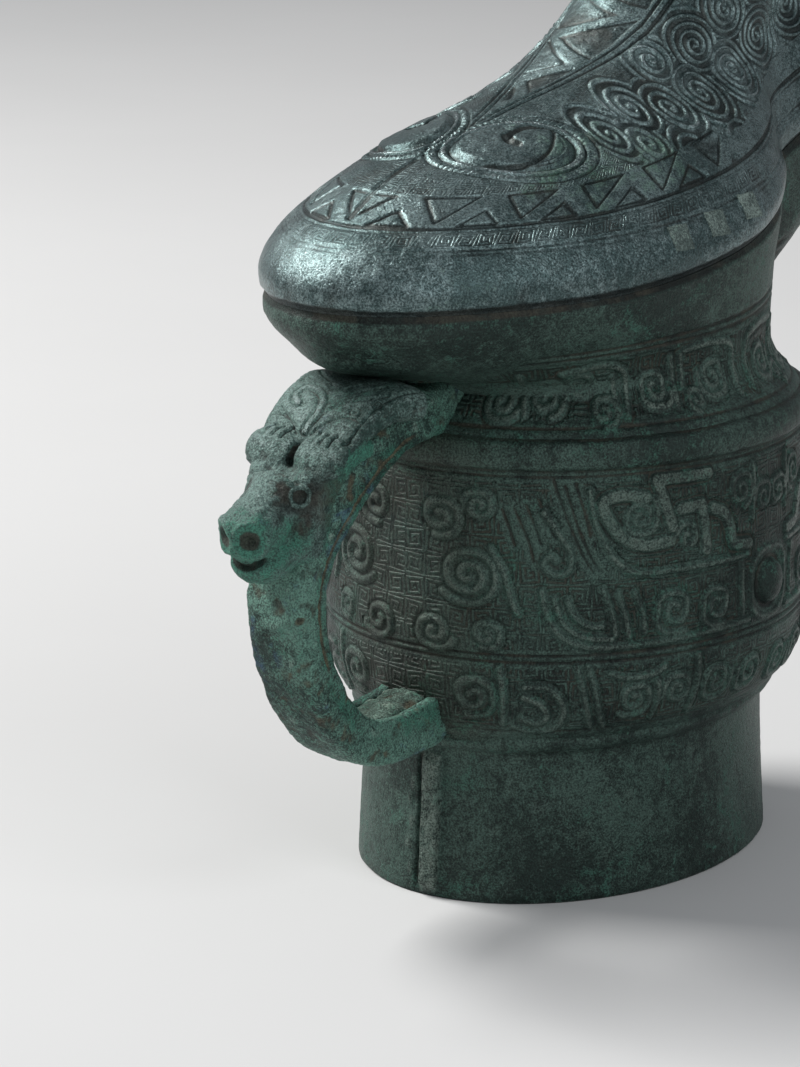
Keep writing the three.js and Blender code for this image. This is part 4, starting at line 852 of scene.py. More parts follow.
def vessel_shell():
    """Foot, floor, inner wall and rim land, drawn in where the skins of belly and neck lie over it."""
    turns = seam_bearings()
    floor_top = FOOT_HEIGHT + FLOOR_THICKNESS
    foot_levels = np.linspace(0.6, FOOT_HEIGHT, 24)
    string_levels = FOOT_HEIGHT + BOWSTRING_HEIGHT * np.linspace(0, 1, 9)[1:]
    level, bearing = np.meshgrid(np.concatenate([foot_levels, string_levels]), turns, indexing="ij")
    base = wall_point(level, bearing)
    seam = seam_relief(base, level)
    relief = seam + moulding(level) + 0.12 * ripple(base, 18, 4) + 0.07 * ripple(base, 5, 6)
    outer = base + relief[..., None] * wall_normal(level, bearing)
    hidden = np.linspace(belly_foot + 0.8, RIM_LEVEL - 3, 24)
    inner = np.concatenate([
        np.linspace(RIM_LEVEL, lip_foot, 8)[1:], np.linspace(lip_foot, NECK_LEVEL, 5)[1:],
        np.linspace(NECK_LEVEL, band_foot, 4)[1:],
        np.linspace(band_foot, belly_foot + BELLY_ROUNDING / 2, 8)[1:],
    ])
    rim = wall_rings([RIM_LEVEL], turns)
    land = wall_rings([RIM_LEVEL], turns, -WALL)
    land[..., 2] = rim[..., 2]
    inside = wall_rings(inner, turns, -WALL)
    lowest = inside[-1]
    rings = np.concatenate([
        [flat_ring(FOOT_HEIGHT, FOOT_HEIGHT + HAIR, FOOT_WALL, turns)],
        [flat_ring(0, 0, FOOT_WALL, turns)],
        [flat_ring(0, 0, 0.6, turns)],
        outer,
        wall_rings(hidden, turns, -SKIN / 2),
        wall_rings([RIM_LEVEL], turns, -SEAM_LINER),
        land,
        inside,
        [lowest * [share, share, 0] + [0, 0, floor_top + up] for share, up in FLOOR_ROUNDING],
    ])
    marks = np.zeros(rings.shape[:2])
    marks[3 : 3 + len(relief)] = 0.5 * seam + 0.22 + 0.1 * ripple(base, 9, 7)
    return add_loft("vessel_shell", rings, "vessel", VESSEL_BRONZE, marks={"relief": marks})


def belly_strokes():
    """The beast on half a flank, in millimetres from the boss: broad bands, rods and thin cut lines."""
    bands = [
        curve(
            (50.5, 115.2), (57.4, 116.4), (62.7, 114.6), (60.4, 108.6), (55.8, 103.9), (49.9, 102.2),
            (42.6, 102.6),
        ),
        line((29.6, 119.6), (47.2, 119.8), (44.4, 112.6), (42.0, 106.4)),
        line((39.4, 111.0), (31.9, 111.4), (30.6, 106.3), (29.8, 98.8)),
        curve((27.4, 109.6), (22.9, 107.6), (20.2, 103.3), (18.6, 98.6), (11.5, 97.2)),
    ]
    rods = [
        curve(
            (66.4, 118), (64.8, 109.7), (62.1, 103.5), (58.6, 98.2), (53.6, 95.2), (48.3, 94.6), (31.5, 94.4),
            (11.3, 94.4), count=44,
        ),
        curve(
            (78.6, 91), (76.8, 83.7), (73.6, 78.6), (67.7, 75.6), (59.7, 74.9), (48, 75.0), (31.9, 75.4),
            (11, 75.8), count=44,
        ),
        curve((75.4, 89), (73.2, 82.6), (69.5, 79.0), (65.1, 77.6), (60, 77.2), count=24),
        curve((71.9, 88.6), (70.4, 84.4), (66.5, 81.2), (62.6, 80.8), count=16),
        curve((62.6, 90.9), (60.0, 84.6), (58.9, 78.4), count=14),
        curve((58.2, 89.6), (56.2, 83.4), (55, 77.4), count=14),
        curve((53.6, 89.4), (51.0, 83.8), (50.4, 78.2), count=14),
        spiral((40.8, 83.2), 1.2, 6.6, 1.75, 150, -1, 3.0),
        spiral((25.4, 82.6), 1.2, 6.0, 1.75, 150, -1, 3.0),
        line((14.6, 92.4), (14.4, 84), (14.0, 77.8)),
        spiral((36.6, 103.0), 0.6, 4.0, 1.3, 120, -1, 2.6), spiral((52.0, 109.9), 0.9, 5.6, 1.9, 90, -1, 2.6),
        curve(
            (78.3, 112.6), (73.9, 106), (71.2, 101.2), (71.9, 96.4), (75.6, 95.6), (78.3, 98.3),
            (76.6, 100.6), (74.9, 99.2), count=40,
        ),
        spiral((97.0, 94.6), 1.0, 8.4, 2.2, 250, 1, 2.1),
        curve((91.6, 102.4), (88, 95.8), (86.1, 88.4), (84.4, 84.6), count=20),
        curve((82.6, 64.4), (76.6, 63.9), (72.6, 58.5), (74.2, 52.6), (80.4, 50.2), (86.2, 52.2), count=32),
        curve((83.0, 61.4), (78.6, 59.2), (77.0, 55.6), (79.8, 53.4), (83.6, 54.6), count=24),
        curve((66.4, 70.0), (64.4, 64), (62.8, 56.4), (61.4, 51.4), count=18),
        curve((69.4, 70.2), (67.6, 64), (66.2, 57), (65, 51.6), count=18),
        spiral((52.5, 59.4), 0.9, 5.4, 1.7, 60, 1, 3.0),
        curve((60.4, 67.4), (55.1, 66.0), (47.6, 66.2), (43.6, 68), count=16),
        spiral((38.6, 60.4), 0.8, 5.0, 1.6, 200, -1, 3.0),
        curve((45.6, 64), (45, 58), (46.2, 52.4), count=10),
        spiral((23.8, 60.6), 0.9, 6.4, 1.8, 90, -1, 2.6),
        curve((32, 69.6), (31.4, 62), (32.4, 52.6), count=12),
        spiral((8.6, 60.6), 0.9, 6.0, 1.8, 90, 1, 2.8), spiral((96, 61), 0.8, 6.2, 1.8, 0, 1, 2.4),
        curve((89, 69.6), (88.2, 62), (88.6, 53), count=12),
        spiral((104.5, 110), 0.8, 5.6, 1.7, 30, 1, 2.4), spiral((106, 78), 0.8, 5.2, 1.6, 60, -1, 2.4),
        spiral((94.6, 113.6), 0.7, 4.2, 1.5, 200, -1, 2.4), spiral((92.4, 78.6), 0.7, 4.0, 1.5, 100, 1, 2.4),
        spiral((15.6, 113), 0.8, 5.2, 1.7, 0, 1, 3.0), spiral((4.2, 109.4), 0.7, 4.4, 1.5, 180, -1, 3.0),
        line((9.8, 119), (9.4, 112), (9.8, 104)),
    ]
    quills = [
        curve((75.8, 121), (72, 110), (68, 100.5), (65.2, 95.8), count=24),
        curve((72.8, 119.6), (69.8, 109.6), (66.4, 101.2), (63.6, 96), count=24),
        curve((70.0, 120), (67.6, 112), (66.0, 106), count=14),
        curve((85.6, 113.4), (83.6, 108.6), (81.6, 103.4), (80.6, 99), count=16),
        curve((82.6, 114.4), (80.2, 108), (78.8, 103.6), count=14),
        curve((88.6, 113.0), (86.8, 108), (85.4, 103.4), count=14),
        curve((79.6, 116), (77, 109.4), (75.2, 105.4), count=14),
        line((-1, 72.9), (115, 72.9)), line((-1, 71.0), (115, 71.0)), line((-1, 50.2), (115, 50.2)),
        line((-1, 121.9), (115, 121.9)),
    ]
    return bands, rods, quills


BELLY_GIRTH = np.linspace(0, np.pi, 721)
girth_run = run_along(np.column_stack([belly[0] * np.cos(BELLY_GIRTH), belly[1] * np.sin(BELLY_GIRTH)]), 0)
BELTS = (belly_foot - 0.4, 71.95, 93.2, band_top + 0.6)
FIELD_FOOT, FIELD_TOP = 49, 122.9


def rods_and_lines(plan, rods, quills):
    """Rods as raised strokes, and what is cut in: the quills, and a finer line on both sides of each rod."""
    cut = np.maximum(
        ink(plan, quills, QUILL_WIDTH, QUILL_SOFT), ROD_CUT_SHARE * rims(plan, rods, ROD_WIDTH, 0.4, 0.28),
    )
    return ink(plan, rods, ROD_WIDTH, STROKE_SOFT), cut


def belly_belt(name, start, end, count, strokes, replaced=()):
    """One belt of the belly's outer skin with its relief on both flanks; belts meet in cut lines.

    The plan runs round the girth, in millimetres from the boss, and up the wall. Broad bands stand up between
    two cut lines, rods stand up a little less, quills are cut in, and the thunder pattern fills the ground.
    """
    turns = even_bearings(wall_point, BAND_LEVEL - 30, BELLY_COLUMNS)
    levels = np.linspace(start, end, count)
    level, bearing = np.meshgrid(levels, turns, indexing="ij")
    base = wall_point(level, bearing)
    to_boss = np.interp(np.radians(BOSS_ANGLE), BELLY_GIRTH, girth_run)
    girth = np.interp(np.abs(bearing), BELLY_GIRTH, girth_run) - to_boss
    plan = np.stack([girth, level], -1)
    bands, rods, quills = strokes
    broad = ink(plan, bands, BAND_WIDTH, STROKE_SOFT)
    thin, lines = rods_and_lines(plan, rods, quills)
    lines = np.maximum(lines, rims(plan, bands, 2.4, 0.55, 0.3)) * (1 - np.maximum(broad, thin))
    field = smooth((level - FIELD_FOOT) / 2) * smooth((FIELD_TOP - level) / 1.2)
    from_boss = np.hypot(girth, level - BOSS_LEVEL)
    dome = BOSS_PROUD * np.sqrt(np.maximum(0, 1 - (from_boss / BOSS_RADIUS) ** 2))
    frame_gap = np.abs((np.abs(girth) ** 3 + np.abs(level - BOSS_LEVEL) ** 3) ** (1 / 3) - BOSS_FRAME)
    collar, moat = smooth(1.5 - frame_gap / 0.8), ridge(from_boss - BOSS_RADIUS, 0.9, 0.8, 1.4)
    fade = 1 - smooth((BOSS_FIELD - from_boss) / 1.2)
    beast = BELLY_RISE * np.maximum(broad, 0.85 * thin) - BELLY_CUT * lines
    carved = field * fade * beast + 0.5 * collar - 0.5 * moat
    borders = smooth(1.2 - np.abs(level - band_top + 0.3)) + smooth(1.1 - np.abs(level - band_foot - 0.1))
    relief = carved + dome - 0.4 * borders + 0.14 * ripple(base, 15, 8) + 0.06 * ripple(base, 4, 9)
    out = moulding(level) + relief
    near = np.maximum(distance(plan, bands, 3.4) < 3.1, distance(plan, rods + quills, 2.2) < GROUND_GAP)
    ground = field * fade * smooth((from_boss - 11) / 2) * (1 - near)
    # Painted shade: brown earth laid towards the back of the belly, by the handle, stands in for the shade
    # there.
    soil = 0.3 * smooth((girth - 84) / 22)
    outer = base + out[..., None] * wall_normal(level, bearing)
    inner_levels = np.linspace(end, start, 5)
    rings = np.concatenate([outer, wall_rings(inner_levels, turns, -SKIN)])
    marks = {"relief": 0.75 * (relief - dome), "ground": ground, "soil": soil}
    return add_loft(
        name, rings, "vessel", VESSEL_BRONZE, joined=True, replaced=replaced,
        marks=with_back(marks, len(inner_levels)), sharp=(0, count - 1),
        unrolled=laid_flat(base[count // 2], np.concatenate([levels, inner_levels])),
    )


def belly_skins():
    """The belly's skin, from the bowstring to the top of the band, in three belts."""
    strokes = [stroke + flipped(stroke) for stroke in belly_strokes()]
    belts = (("belly_lower", 60, ()), ("belly_middle", 54, ()), ("belly_upper", 96, ["vessel_body"]))
    for (name, count, replaced), start, end in zip(belts, BELTS[:-1], BELTS[1:]):
        belly_belt(name, start, end, count, strokes, replaced)


def neck_strokes():
    """The neck's frieze on half a flank: spirals, bars and hooks, in millimetres from the boss's bearing."""
    rods = [
        spiral((64, 141.2), 0.8, 4.8, 1.7, 0, 1), spiral((55.4, 143.6), 0.8, 4.2, 1.6, 180, -1),
        spiral((49.4, 137.6), 0.7, 3.8, 1.5, 90, 1), spiral((34, 142), 0.9, 5.0, 1.7, 90, -1, 3.2),
        spiral((13.4, 142.4), 0.9, 5.4, 1.8, 90, 1, 3.2), spiral((21.4, 138), 0.6, 3.0, 1.2, 0, -1, 3.2),
        spiral((75, 139.6), 0.8, 4.4, 1.6, 60, -1),
        curve((60, 147.6), (50, 149.6), (43.4, 147), (42.6, 141), (43.4, 136), count=18),
        curve((28.4, 149), (27.6, 143.5), (28.2, 137.4), count=10),
        curve((25.2, 149.2), (24.4, 144.5), (25, 141.4), count=10),
        curve((24, 150), (14, 150.6), (5, 149), (3.4, 143.5), (4, 137), count=18),
        curve((46.4, 145.4), (46, 141.5), (45.2, 136.6), count=8),
        curve((69.4, 148), (69.8, 143), (69.2, 137), count=8),
    ]
    quills = [line((0, 134.0), (100, 134.0)), line((0, 152.8), (70, 152.8)), line((0, 154.6), (66, 154.6))]
    return rods, quills


FRIEZE_RING = 20
neck_foot = band_top - 0.8


def neck_skin():
    """The outer skin of the neck, the rear lip and the spout, up to the rim, with a frieze round the neck."""
    turns = even_bearings(wall_point, lip_foot, NECK_COLUMNS)
    levels = np.concatenate([np.linspace(neck_foot, lip_foot, 62), np.linspace(lip_foot, RIM_LEVEL, 34)[1:]])
    level, bearing = np.meshgrid(levels, turns, indexing="ij")
    base = wall_point(level, bearing)
    girth = (np.abs(np.degrees(bearing)) - BOSS_ANGLE) * np.pi / 180 * np.mean(neck)
    plan = np.stack([girth, level], -1)
    rods, quills = [strokes + flipped(strokes) for strokes in neck_strokes()]
    upright = 1 - smooth((np.linalg.norm(base[..., :2], axis=-1) - 70) / 8)
    field = smooth((level - 133) / 1.5) * upright
    thin, lines = rods_and_lines(plan, rods, quills)
    frieze = field * (NECK_RISE * thin - NECK_CUT * (lines * (1 - thin)))
    relief = frieze + 0.14 * ripple(base, 16, 12) + 0.06 * ripple(base, 4, 13)
    near = distance(plan, rods + quills, 2.2) < GROUND_GAP
    ground = field * smooth((152 - level) / 1.5) * (1 - near)
    below = RIM_LEVEL - level
    roll = LIP_ROLL * smooth((-base[..., 0] - 70) / 30) * smooth(below / 4) * smooth((13 - below) / 8)
    seam = SEAM_ROUND * smooth(1 - below / 1.5)
    out = relief * smooth(below / 2) + roll - seam
    outer = base + out[..., None] * wall_normal(level, bearing)
    inner_levels = np.linspace(RIM_LEVEL, neck_foot, 8)
    rings = np.concatenate([outer, wall_rings(inner_levels, turns, -SKIN)])
    # Painted shade: the seam's rounding is taken off the relief mark as well, so the patina darkens the rim's
    # top edge and lays earth there as a line of shade.
    return add_loft(
        "neck_skin", rings, "vessel", VESSEL_BRONZE, joined=True, sharp=(0, len(levels) - 1),
        marks=with_back({"relief": relief - seam, "ground": ground}, len(inner_levels)),
        unrolled=laid_flat(base[FRIEZE_RING], np.concatenate([levels, inner_levels])),
    )


# Handle

bend_rise = HANDLE_TOP - HANDLE_BOTTOM
HANDLE_CORNERS = np.array([
    (-(neck[0] - 8), HANDLE_TOP + 1), (-(neck[0] + 9), HANDLE_TOP),
    (-(HANDLE_REACH - 36), HANDLE_TOP - 0.03 * bend_rise),
    (-(HANDLE_REACH - 22), HANDLE_TOP - 0.125 * bend_rise),
    (-(HANDLE_REACH - 9), HANDLE_TOP - 0.26 * bend_rise),
    (-(HANDLE_REACH - 1.5), HANDLE_TOP - 0.4 * bend_rise),
    (-HANDLE_REACH, HANDLE_TOP - 0.54 * bend_rise), (-(HANDLE_REACH - 3), HANDLE_TOP - 0.69 * bend_rise),
    (-(HANDLE_REACH - 9.5), HANDLE_TOP - 0.835 * bend_rise),
    (-(HANDLE_REACH - 19), HANDLE_TOP - 0.95 * bend_rise),
    (-(HANDLE_REACH - 30), HANDLE_BOTTOM), (-(belly[0] + 2), HANDLE_BOTTOM),
    (-(belly[0] - 18), HANDLE_BOTTOM + 4),
])


def handle_frame(count):
    """The handle's middle line in equal steps: points, directions square to it, depths and the run."""
    fine = curve(*HANDLE_CORNERS, count=900)
    run = run_along(fine, 0)
    at = np.linspace(0, run[-1], count)
    spot = np.column_stack([np.interp(at, run, fine[:, 0]), np.interp(at, run, fine[:, 1])])
    tangent = unit(np.gradient(spot, axis=0))
    share = np.linspace(0, 1, count)
    depth = mix(HANDLE_DEPTH, HANDLE_ROOT_DEPTH, np.abs(2 * share - 1) ** 1.6)
    return spot, np.column_stack([tangent[:, 1], -tangent[:, 0]]), depth, at


def along_handle(outline, count):
    """Carries an outline along the handle. A point has its place across, a side (1 out, -1 in) and an inset.

    Past the vessel's wall the points stay a little inside it, so that the roots end in the metal.
    """
    spot, away, depth, _ = handle_frame(count)
    across, side, inset = np.asarray(outline, float).T
    out = side * (depth[:, None] / 2 - inset)
    x = spot[:, :1] + away[:, :1] * out
    z = spot[:, 1:] + away[:, 1:] * out
    y = np.broadcast_to(across, x.shape)
    sizes = through(WALL_STATIONS, np.clip(z, 0, RIM_LEVEL))
    wall_x = -sizes[..., 0] * np.sqrt(np.maximum(0, 1 - (y / sizes[..., 2]) ** 2))
    return np.stack([np.minimum(x, wall_x + 2.2), y, z], -1)


def handle_outline():
    """The channel's section: rounded outer edges, close points on the sides and back, and an open slot."""
    half, slot, round_off = HANDLE_WIDTH / 2, HANDLE_WIDTH / 2 - HANDLE_WALL, 3.2
    side_in = [(half, -1, inset) for inset in (1.4, 1.9, 2.4, 2.75, 3.1, 3.45, 3.8, 4.3, 4.8)]
    side_out = [(half, 1, inset) for inset in (4.8, 4.4, 4.0, 3.6)]
    corner = [
        (half - round_off * (1 - np.cos(a)), 1, round_off * (1 - np.sin(a)))
        for a in np.linspace(0, np.pi / 2, 9)
    ]
    crown = [(x, 1, -0.25 * (1 - (x / half) ** 2)) for x in np.linspace(6, 0.75, 8)]
    right = [
        (slot, -1, 0.6), (slot + 0.5, -1, 0.1), (half - 0.9, -1, 0), (half - 0.15, -1, 0.7), *side_in,
        *side_out, *corner, *crown,
    ]
    left = [(-x, side, inset) for x, side, inset in right][::-1]
    inner = [(-slot, 1, HANDLE_WALL), (slot, 1, HANDLE_WALL)]
    return right + left + inner


GROOVE_INSET, GROOVE_HALF, GROOVE_DEPTH, GROOVE_END = 3.1, 0.55, 0.85, 74.0
PORE_RADIUS, PORES = 1.3, ((-124.7, -8.9, 92.7), (-120.4, -6.0, 66.6), (-124.0, 4.0, 104.0))


def handle_strap():
    """The handle: its section carried along the middle line, with a slow unevenness of the casting.

    A groove runs down each side near the inner edge as far as the lower bend, a short comma is cut below the
    ox's cheek, and a few pores open in the back.
    """
    count = 340
    outline = np.array(handle_outline())
    rings = along_handle(outline, count)
    _, _, _, at = handle_frame(count)
    on_side = (np.abs(outline[:, 0]) > HANDLE_WIDTH / 2 - 0.01) & (outline[:, 1] < 0)
    in_groove = on_side * ridge(outline[:, 2], GROOVE_INSET, GROOVE_HALF, 1.3)
    low = np.where(
        at > at[-1] / 2, smooth((rings[:, :, 2].mean(1) - GROOVE_END) / 4), smooth((at - 26) / 6),
    )
    relief = -GROOVE_DEPTH * in_groove * low[:, None]
    flank = np.abs(rings[..., 1]) > HANDLE_WIDTH / 2 - 0.6
    comma = [np.array([[-104.4, 127.2], [-105.9, 124.8], [-106.3, 121.8]])]
    relief -= 0.8 * flank * ink(rings[..., [0, 2]], comma, 1.2, 0.6)
    for spot in PORES:
        relief -= PORE_RADIUS * smooth(1 - np.linalg.norm(rings - spot, axis=-1) / PORE_RADIUS)
    centre = rings.mean(1, keepdims=True)
    uneven = ripples(rings, (0.28, 9, 21), (0.2, 3.4, 22), (0.12, 1.9, 23))
    way = np.where(flank[..., None], np.sign(rings) * [0, 1, 0], unit(rings - centre))
    rings = rings + way * (relief + uneven)[..., None]
    edge = smooth((np.abs(outline[:, 0]) - 7.5) / 2) * smooth((outline[:, 1] < 0) * 1.0)
    return add_loft(
        "handle_strap_skin", rings, "vessel", HANDLE_BRONZE, replaced=["handle_strap"],
        marks={
            "relief": relief + uneven, "bloom": np.broadcast_to(0.35 * edge, relief.shape).copy(),
            "soil": in_groove * low[:, None],
        },
    )


def tenons():
    """The vessel's two tenons inside the channel's ends: two stretches of one fill of the slot."""
    half, count = HANDLE_WIDTH / 2 - HANDLE_WALL - 0.3, 300
    rings = along_handle(
        [(half, -1, 0.9), (half, 1, HANDLE_WALL + 0.3), (-half, 1, HANDLE_WALL + 0.3), (-half, -1, 0.9)],
        count,
    )
    spot, _, _, _ = handle_frame(count)
    upper = np.where(spot[:, 0] < -(neck[0] + 1))[0][0]
    for name, stretch in (
        ("tenon_upper", slice(upper - 8, upper + 10)), ("tenon_lower", slice(count - 26, count - 4)),
    ):
        add_loft(name, rings[stretch], "vessel", CRUSTED_CLAY)


CORE_STRETCH = slice(14, -4)


def handle_core_crust():
    """The clay core in the handle's slot and the crust on it: a fill whose open face is lumpy.

    The lumps are waves of three lengths. They stand highest at the lower end and fall away to the walls.
    """
    half, count = HANDLE_WIDTH / 2 - HANDLE_WALL - 0.1, 240
    face = np.linspace(half, -half, 17)
    outline = [(x, -1, 1.1 - 0.5 * (1 - (x / half) ** 2)) for x in face]
    outline += [(x, 1, HANDLE_WALL + 0.3) for x in (-half, half)]
    rings = along_handle(outline, count)
    _, away, _, at = handle_frame(count)
    low = smooth((at / at[-1] - 0.7) / 0.16)[:, None]
    open_face = np.zeros(len(outline))
    open_face[1:16] = 1
    lumps = ripples(rings, (0.3, 8, 24), (0.25, 4.2, 25), (0.16, 2.2, 26))
    dome = np.sqrt(np.maximum(0, 1 - (np.array(outline)[:, 0] / half) ** 2))
    rise = open_face * (mix(0.6, 2.0, low) * lumps + 1.5 * low * dome)
    rings[..., 0] -= rise * away[:, :1]
    rings[..., 2] -= rise * away[:, 1:]
    return add_loft(
        "handle_core_crust", rings[CORE_STRETCH], "vessel", CRUSTED_CLAY,
        replaced=["handle_core"], marks={"relief": (open_face * lumps)[CORE_STRETCH]},
    )


# Lid

seat_rear, seat_front = RIM_LEVEL + SEAT_GAP, RIM_LEVEL + SEAT_GAP + SPOUT_RISE
edge_rear, edge_front = seat_rear + LID_EDGE_HEIGHT, seat_front + LID_EDGE_HEIGHT
lid_rear, lid_front = -RIM_REAR - LID_OVERHANG, RIM_FRONT + LID_OVERHANG
lid_half, lid_spout = rim_half + LID_OVERHANG, spout_half + LID_OVERHANG
neck_half, neck_long = NECK_TOP_WIDTH / 2, (NECK_TOP_FRONT - NECK_TOP_REAR) / 2
neck_middle = NECK_TOP_REAR + neck_long


def lid_station(rear, middle, front, flank, low, high):
    """A ring of the lid's body: shares of the way from its edge to the top of the neck."""
    return [
        rear, middle, mix(lid_half, neck_half, flank),
        mix(RIM_ROUND, neck_long, 0.9 * (middle / neck_middle) ** 2),
        mix(lid_front, NECK_TOP_FRONT, front) - middle, mix(lid_spout, neck_half * 0.8, flank), low,
        mix(edge_front, NECK_TOP, high),
    ]


def on_back(share):
    """A height on the lid's back, at a share of the way from its rear edge to its crown."""
    return mix(edge_rear, LID_CROWN, share)


def on_slope(share):
    """A height in front of the lid's crown, at a share of the way to the neck's top."""
    return mix(LID_CROWN, NECK_TOP, share)


LID_STATIONS = [[level, *sizes] for level, sizes in enumerate([
    [-RIM_REAR, 0, rim_half, RIM_ROUND, RIM_FRONT, spout_half, seat_rear, seat_front],
    [lid_rear, 0, lid_half, RIM_ROUND + LID_OVERHANG, lid_front, lid_spout, edge_rear, edge_front - 1.5],
    [
        lid_rear + 5, 0, lid_half - 3.5, RIM_ROUND, lid_front - 1.5, lid_spout - 1.5, on_back(0.25),
        edge_front + 2,
    ],
    lid_station(lid_rear + 14.5, 2, 0.14, 0.24, on_back(0.47), 0.22),
    lid_station(lid_rear + 32, 8, 0.28, 0.52, on_back(0.78), 0.38),
    lid_station(lid_rear + 54, 16, 0.42, 0.76, LID_CROWN, 0.5),
    lid_station(-32, 27, 0.57, 0.9, on_slope(0.135), 0.62),
    lid_station(-5, 41, 0.72, 0.96, on_slope(0.335), 0.75),
    lid_station(NECK_TOP_REAR - 19, 57, 0.86, 0.99, on_slope(0.645), 0.88),
    [NECK_TOP_REAR, neck_middle, neck_half, neck_long, 0.7 * neck_long, 0.6 * neck_half, NECK_TOP, NECK_TOP],
])]
LID_TOP = LID_STATIONS[-1][0]


def lid_point(level, bearing):
    """A point of the lid's plain outside: a mouth-shaped ring about its middle, sweeping up to the front."""
    rear, middle, half, front, spout, lip, low, high = np.moveaxis(through(LID_STATIONS, level), -1, 0)
    far = mouth(bearing, middle - rear, 2.05, half, front, spout, lip)
    x = middle + far * np.cos(bearing)
    z = low + (high - low) * sweep_up(x, np.maximum(RISE_START, rear), middle + np.maximum(front, spout))
    return np.stack(np.broadcast_arrays(x, far * np.sin(bearing), z), -1)


def lid_normal(level, bearing):
    """The lid's outward direction. Its two ends take that of a level just inside them."""
    return outward(lid_point, np.clip(level, 0.02, LID_TOP - 0.02), bearing, 0.02)


def lid_rings(levels, bearings, out=0.0):
    """Rings of the lid at levels and bearings, moved out by a distance."""
    return moved_out(lid_point, lid_normal, levels, bearings, out)


def neck_mouth(inset, height, bearings):
    """The oval opening at the top of the lid's neck, drawn in from the neck's outside."""
    return oval_ring(neck_middle, neck_long - inset, neck_half - inset, height, bearings)


def flange_ring(inset, depth, bearings):
    """A ring of the flange, which follows the inside of the vessel's mouth below the lid's seat."""
    rim = wall_point(np.full_like(bearings, RIM_LEVEL), bearings)
    lean = SPOUT_RISE * sweep_up(rim[:, 0], RISE_START, RIM_FRONT) / (RIM_LEVEL - NECK_LEVEL)
    level = RIM_LEVEL - depth / (1 + lean)
    ring = wall_point(level, bearings) - inset * wall_normal(level, bearings)
    if depth == 0:
        ring[:, 2] = rim[:, 2] + SEAT_GAP
    return ring


WHORL_RISE, WHORL_DOME, WHORL_COMMA_CUT, WHORL_TAIL_CUT, WHORL_LINE_CUT = 1.1, 0.5, 1.5, 0.75, 0.5
WHORL_LINES, WHORL_RIM, WHORL_ROOM, WHORL_HATCHES = (1.03, 1.2, 1.42), 1.12, 1.52, 34


def whorl_relief(points, normals, side):
    """A whorl boss: an oval with a comma cut into it, a raised rim, a ring of hatching and an outer ring.

    The plan has its middle on the boss. Its long axis leans outwards from the lid's length, its short axis
    points to the spine, and the ring number is 1 on the boss's edge. The relief comes with the boss's own
    height and with the room that the whorl takes.
    """
    level, bearing = np.meshgrid(np.linspace(3.4, 5.6, 90), side * np.linspace(1.9, 3.1, 160), indexing="ij")
    grid = lid_point(level, bearing)
    i, j = np.unravel_index(
        np.argmin(np.hypot(grid[..., 0] - WHORL_X, grid[..., 1] - side * WHORL_Y)), level.shape,
    )
    centre, normal = grid[i, j], lid_normal(level[i, j], bearing[i, j])
    lean = np.radians(WHORL_LEAN)
    way = np.array([np.cos(lean), side * np.sin(lean), 0])
    first = unit(way - normal * (way @ normal))
    second = -side * np.cross(normal, first)
    away, size = points - centre, np.array([WHORL_LONG, WHORL_SHORT])
    plan = np.stack([away @ first, away @ second], -1)
    ring = np.hypot(*np.moveaxis(plan / size, -1, 0))
    turn = np.arctan2(plan[..., 1] / size[1], plan[..., 0] / size[0])
    facing = smooth((normals @ normal - 0.2) / 0.2) * (ring < 1.7)
    boss = smooth((1.0 - ring) / 0.14) * (WHORL_RISE + WHORL_DOME * np.sqrt(np.maximum(0, 1 - ring**2)))
    hook = curve((0.7, 0.66), (0.32, 0.66), (0.07, 0.46), (-0.07, 0.16), (0.05, -0.04), count=30) * size
    barb = curve((-0.05, 0.28), (-0.04, 0.1), (0.05, -0.02), count=12) * size
    tail = curve(
        (-0.62, -0.78), (-0.3, -0.9), (0.0, -0.88), (0.28, -0.7), (0.52, -0.34), (0.66, 0.06), (0.74, 0.44),
        (0.7, 0.66), count=50,
    ) * size
    comma = np.maximum(ink(plan, [hook], 1.3, 0.6), ink(plan, [barb], 2.6, 0.8))
    fine = (
        sum(ridge(ring, r, 0.025, 1.1) for r in (0.82, 0.9))
        * smooth((np.cos(turn + 0.5) - 0.55) / 0.2)
    )
    rim = ridge(ring, WHORL_RIM, 0.06, 1.4)
    lines = sum(ridge(ring, r, 0.035, 1.2) for r in WHORL_LINES)
    hatch = (
        smooth((np.abs(np.sin(turn * WHORL_HATCHES)) - 0.3) / 0.35) * smooth((ring - 1.21) / 0.03)
        * smooth((1.4 - ring) / 0.03)
    )
    relief = (
        boss - WHORL_COMMA_CUT * comma - WHORL_TAIL_CUT * ink(plan, [tail], 0.9, 0.5) - 0.3 * fine
        + 0.55 * rim + 0.3 * hatch - WHORL_LINE_CUT * lines
    )
    return facing * relief, facing * boss, smooth((WHORL_ROOM - ring) / 0.08) * facing


TRIANGLE_PITCH, TRIANGLE_HEIGHT, TRIANGLE_CUT = 23.0, 13.4, 0.62
SNOUT_LINE, COIL_RISE, COIL_GROUND = 3.02, 0.66, 0.36
GIRTH_LEVEL, MERIDIAN, PATTERN_SHIFT = 3.4, 152, 7.5
EDGE_LINES = ((0, 0.75, 0.6), (-1.7, 0.5, 0.25), (-8.6, 0.5, 0.25), (-10.0, 0.5, 0.18))


def triangle_band(girth, climb):
    """Triangles point down and point up by turns, as on a serpent's back: their flats and their outlines."""
    half = TRIANGLE_PITCH / 2
    down = [(-7.4, TRIANGLE_HEIGHT), (7.4, TRIANGLE_HEIGHT), (0, 2.6)]
    up = [(-5.2, 1.2), (5.2, 1.2), (0, 7.2)]
    flats, edges = np.zeros(girth.shape), np.zeros(girth.shape)
    for offset, corners in ((half, down), (0, up)):
        plan = np.stack([np.mod(girth + offset, TRIANGLE_PITCH) - half, climb], -1)
        flats = np.maximum(flats, facet(plan, corners, 0.35))
        edges = np.maximum(edges, ink(plan, [np.array([*corners, corners[0]])], 0.85, 0.4))
    return flats, edges


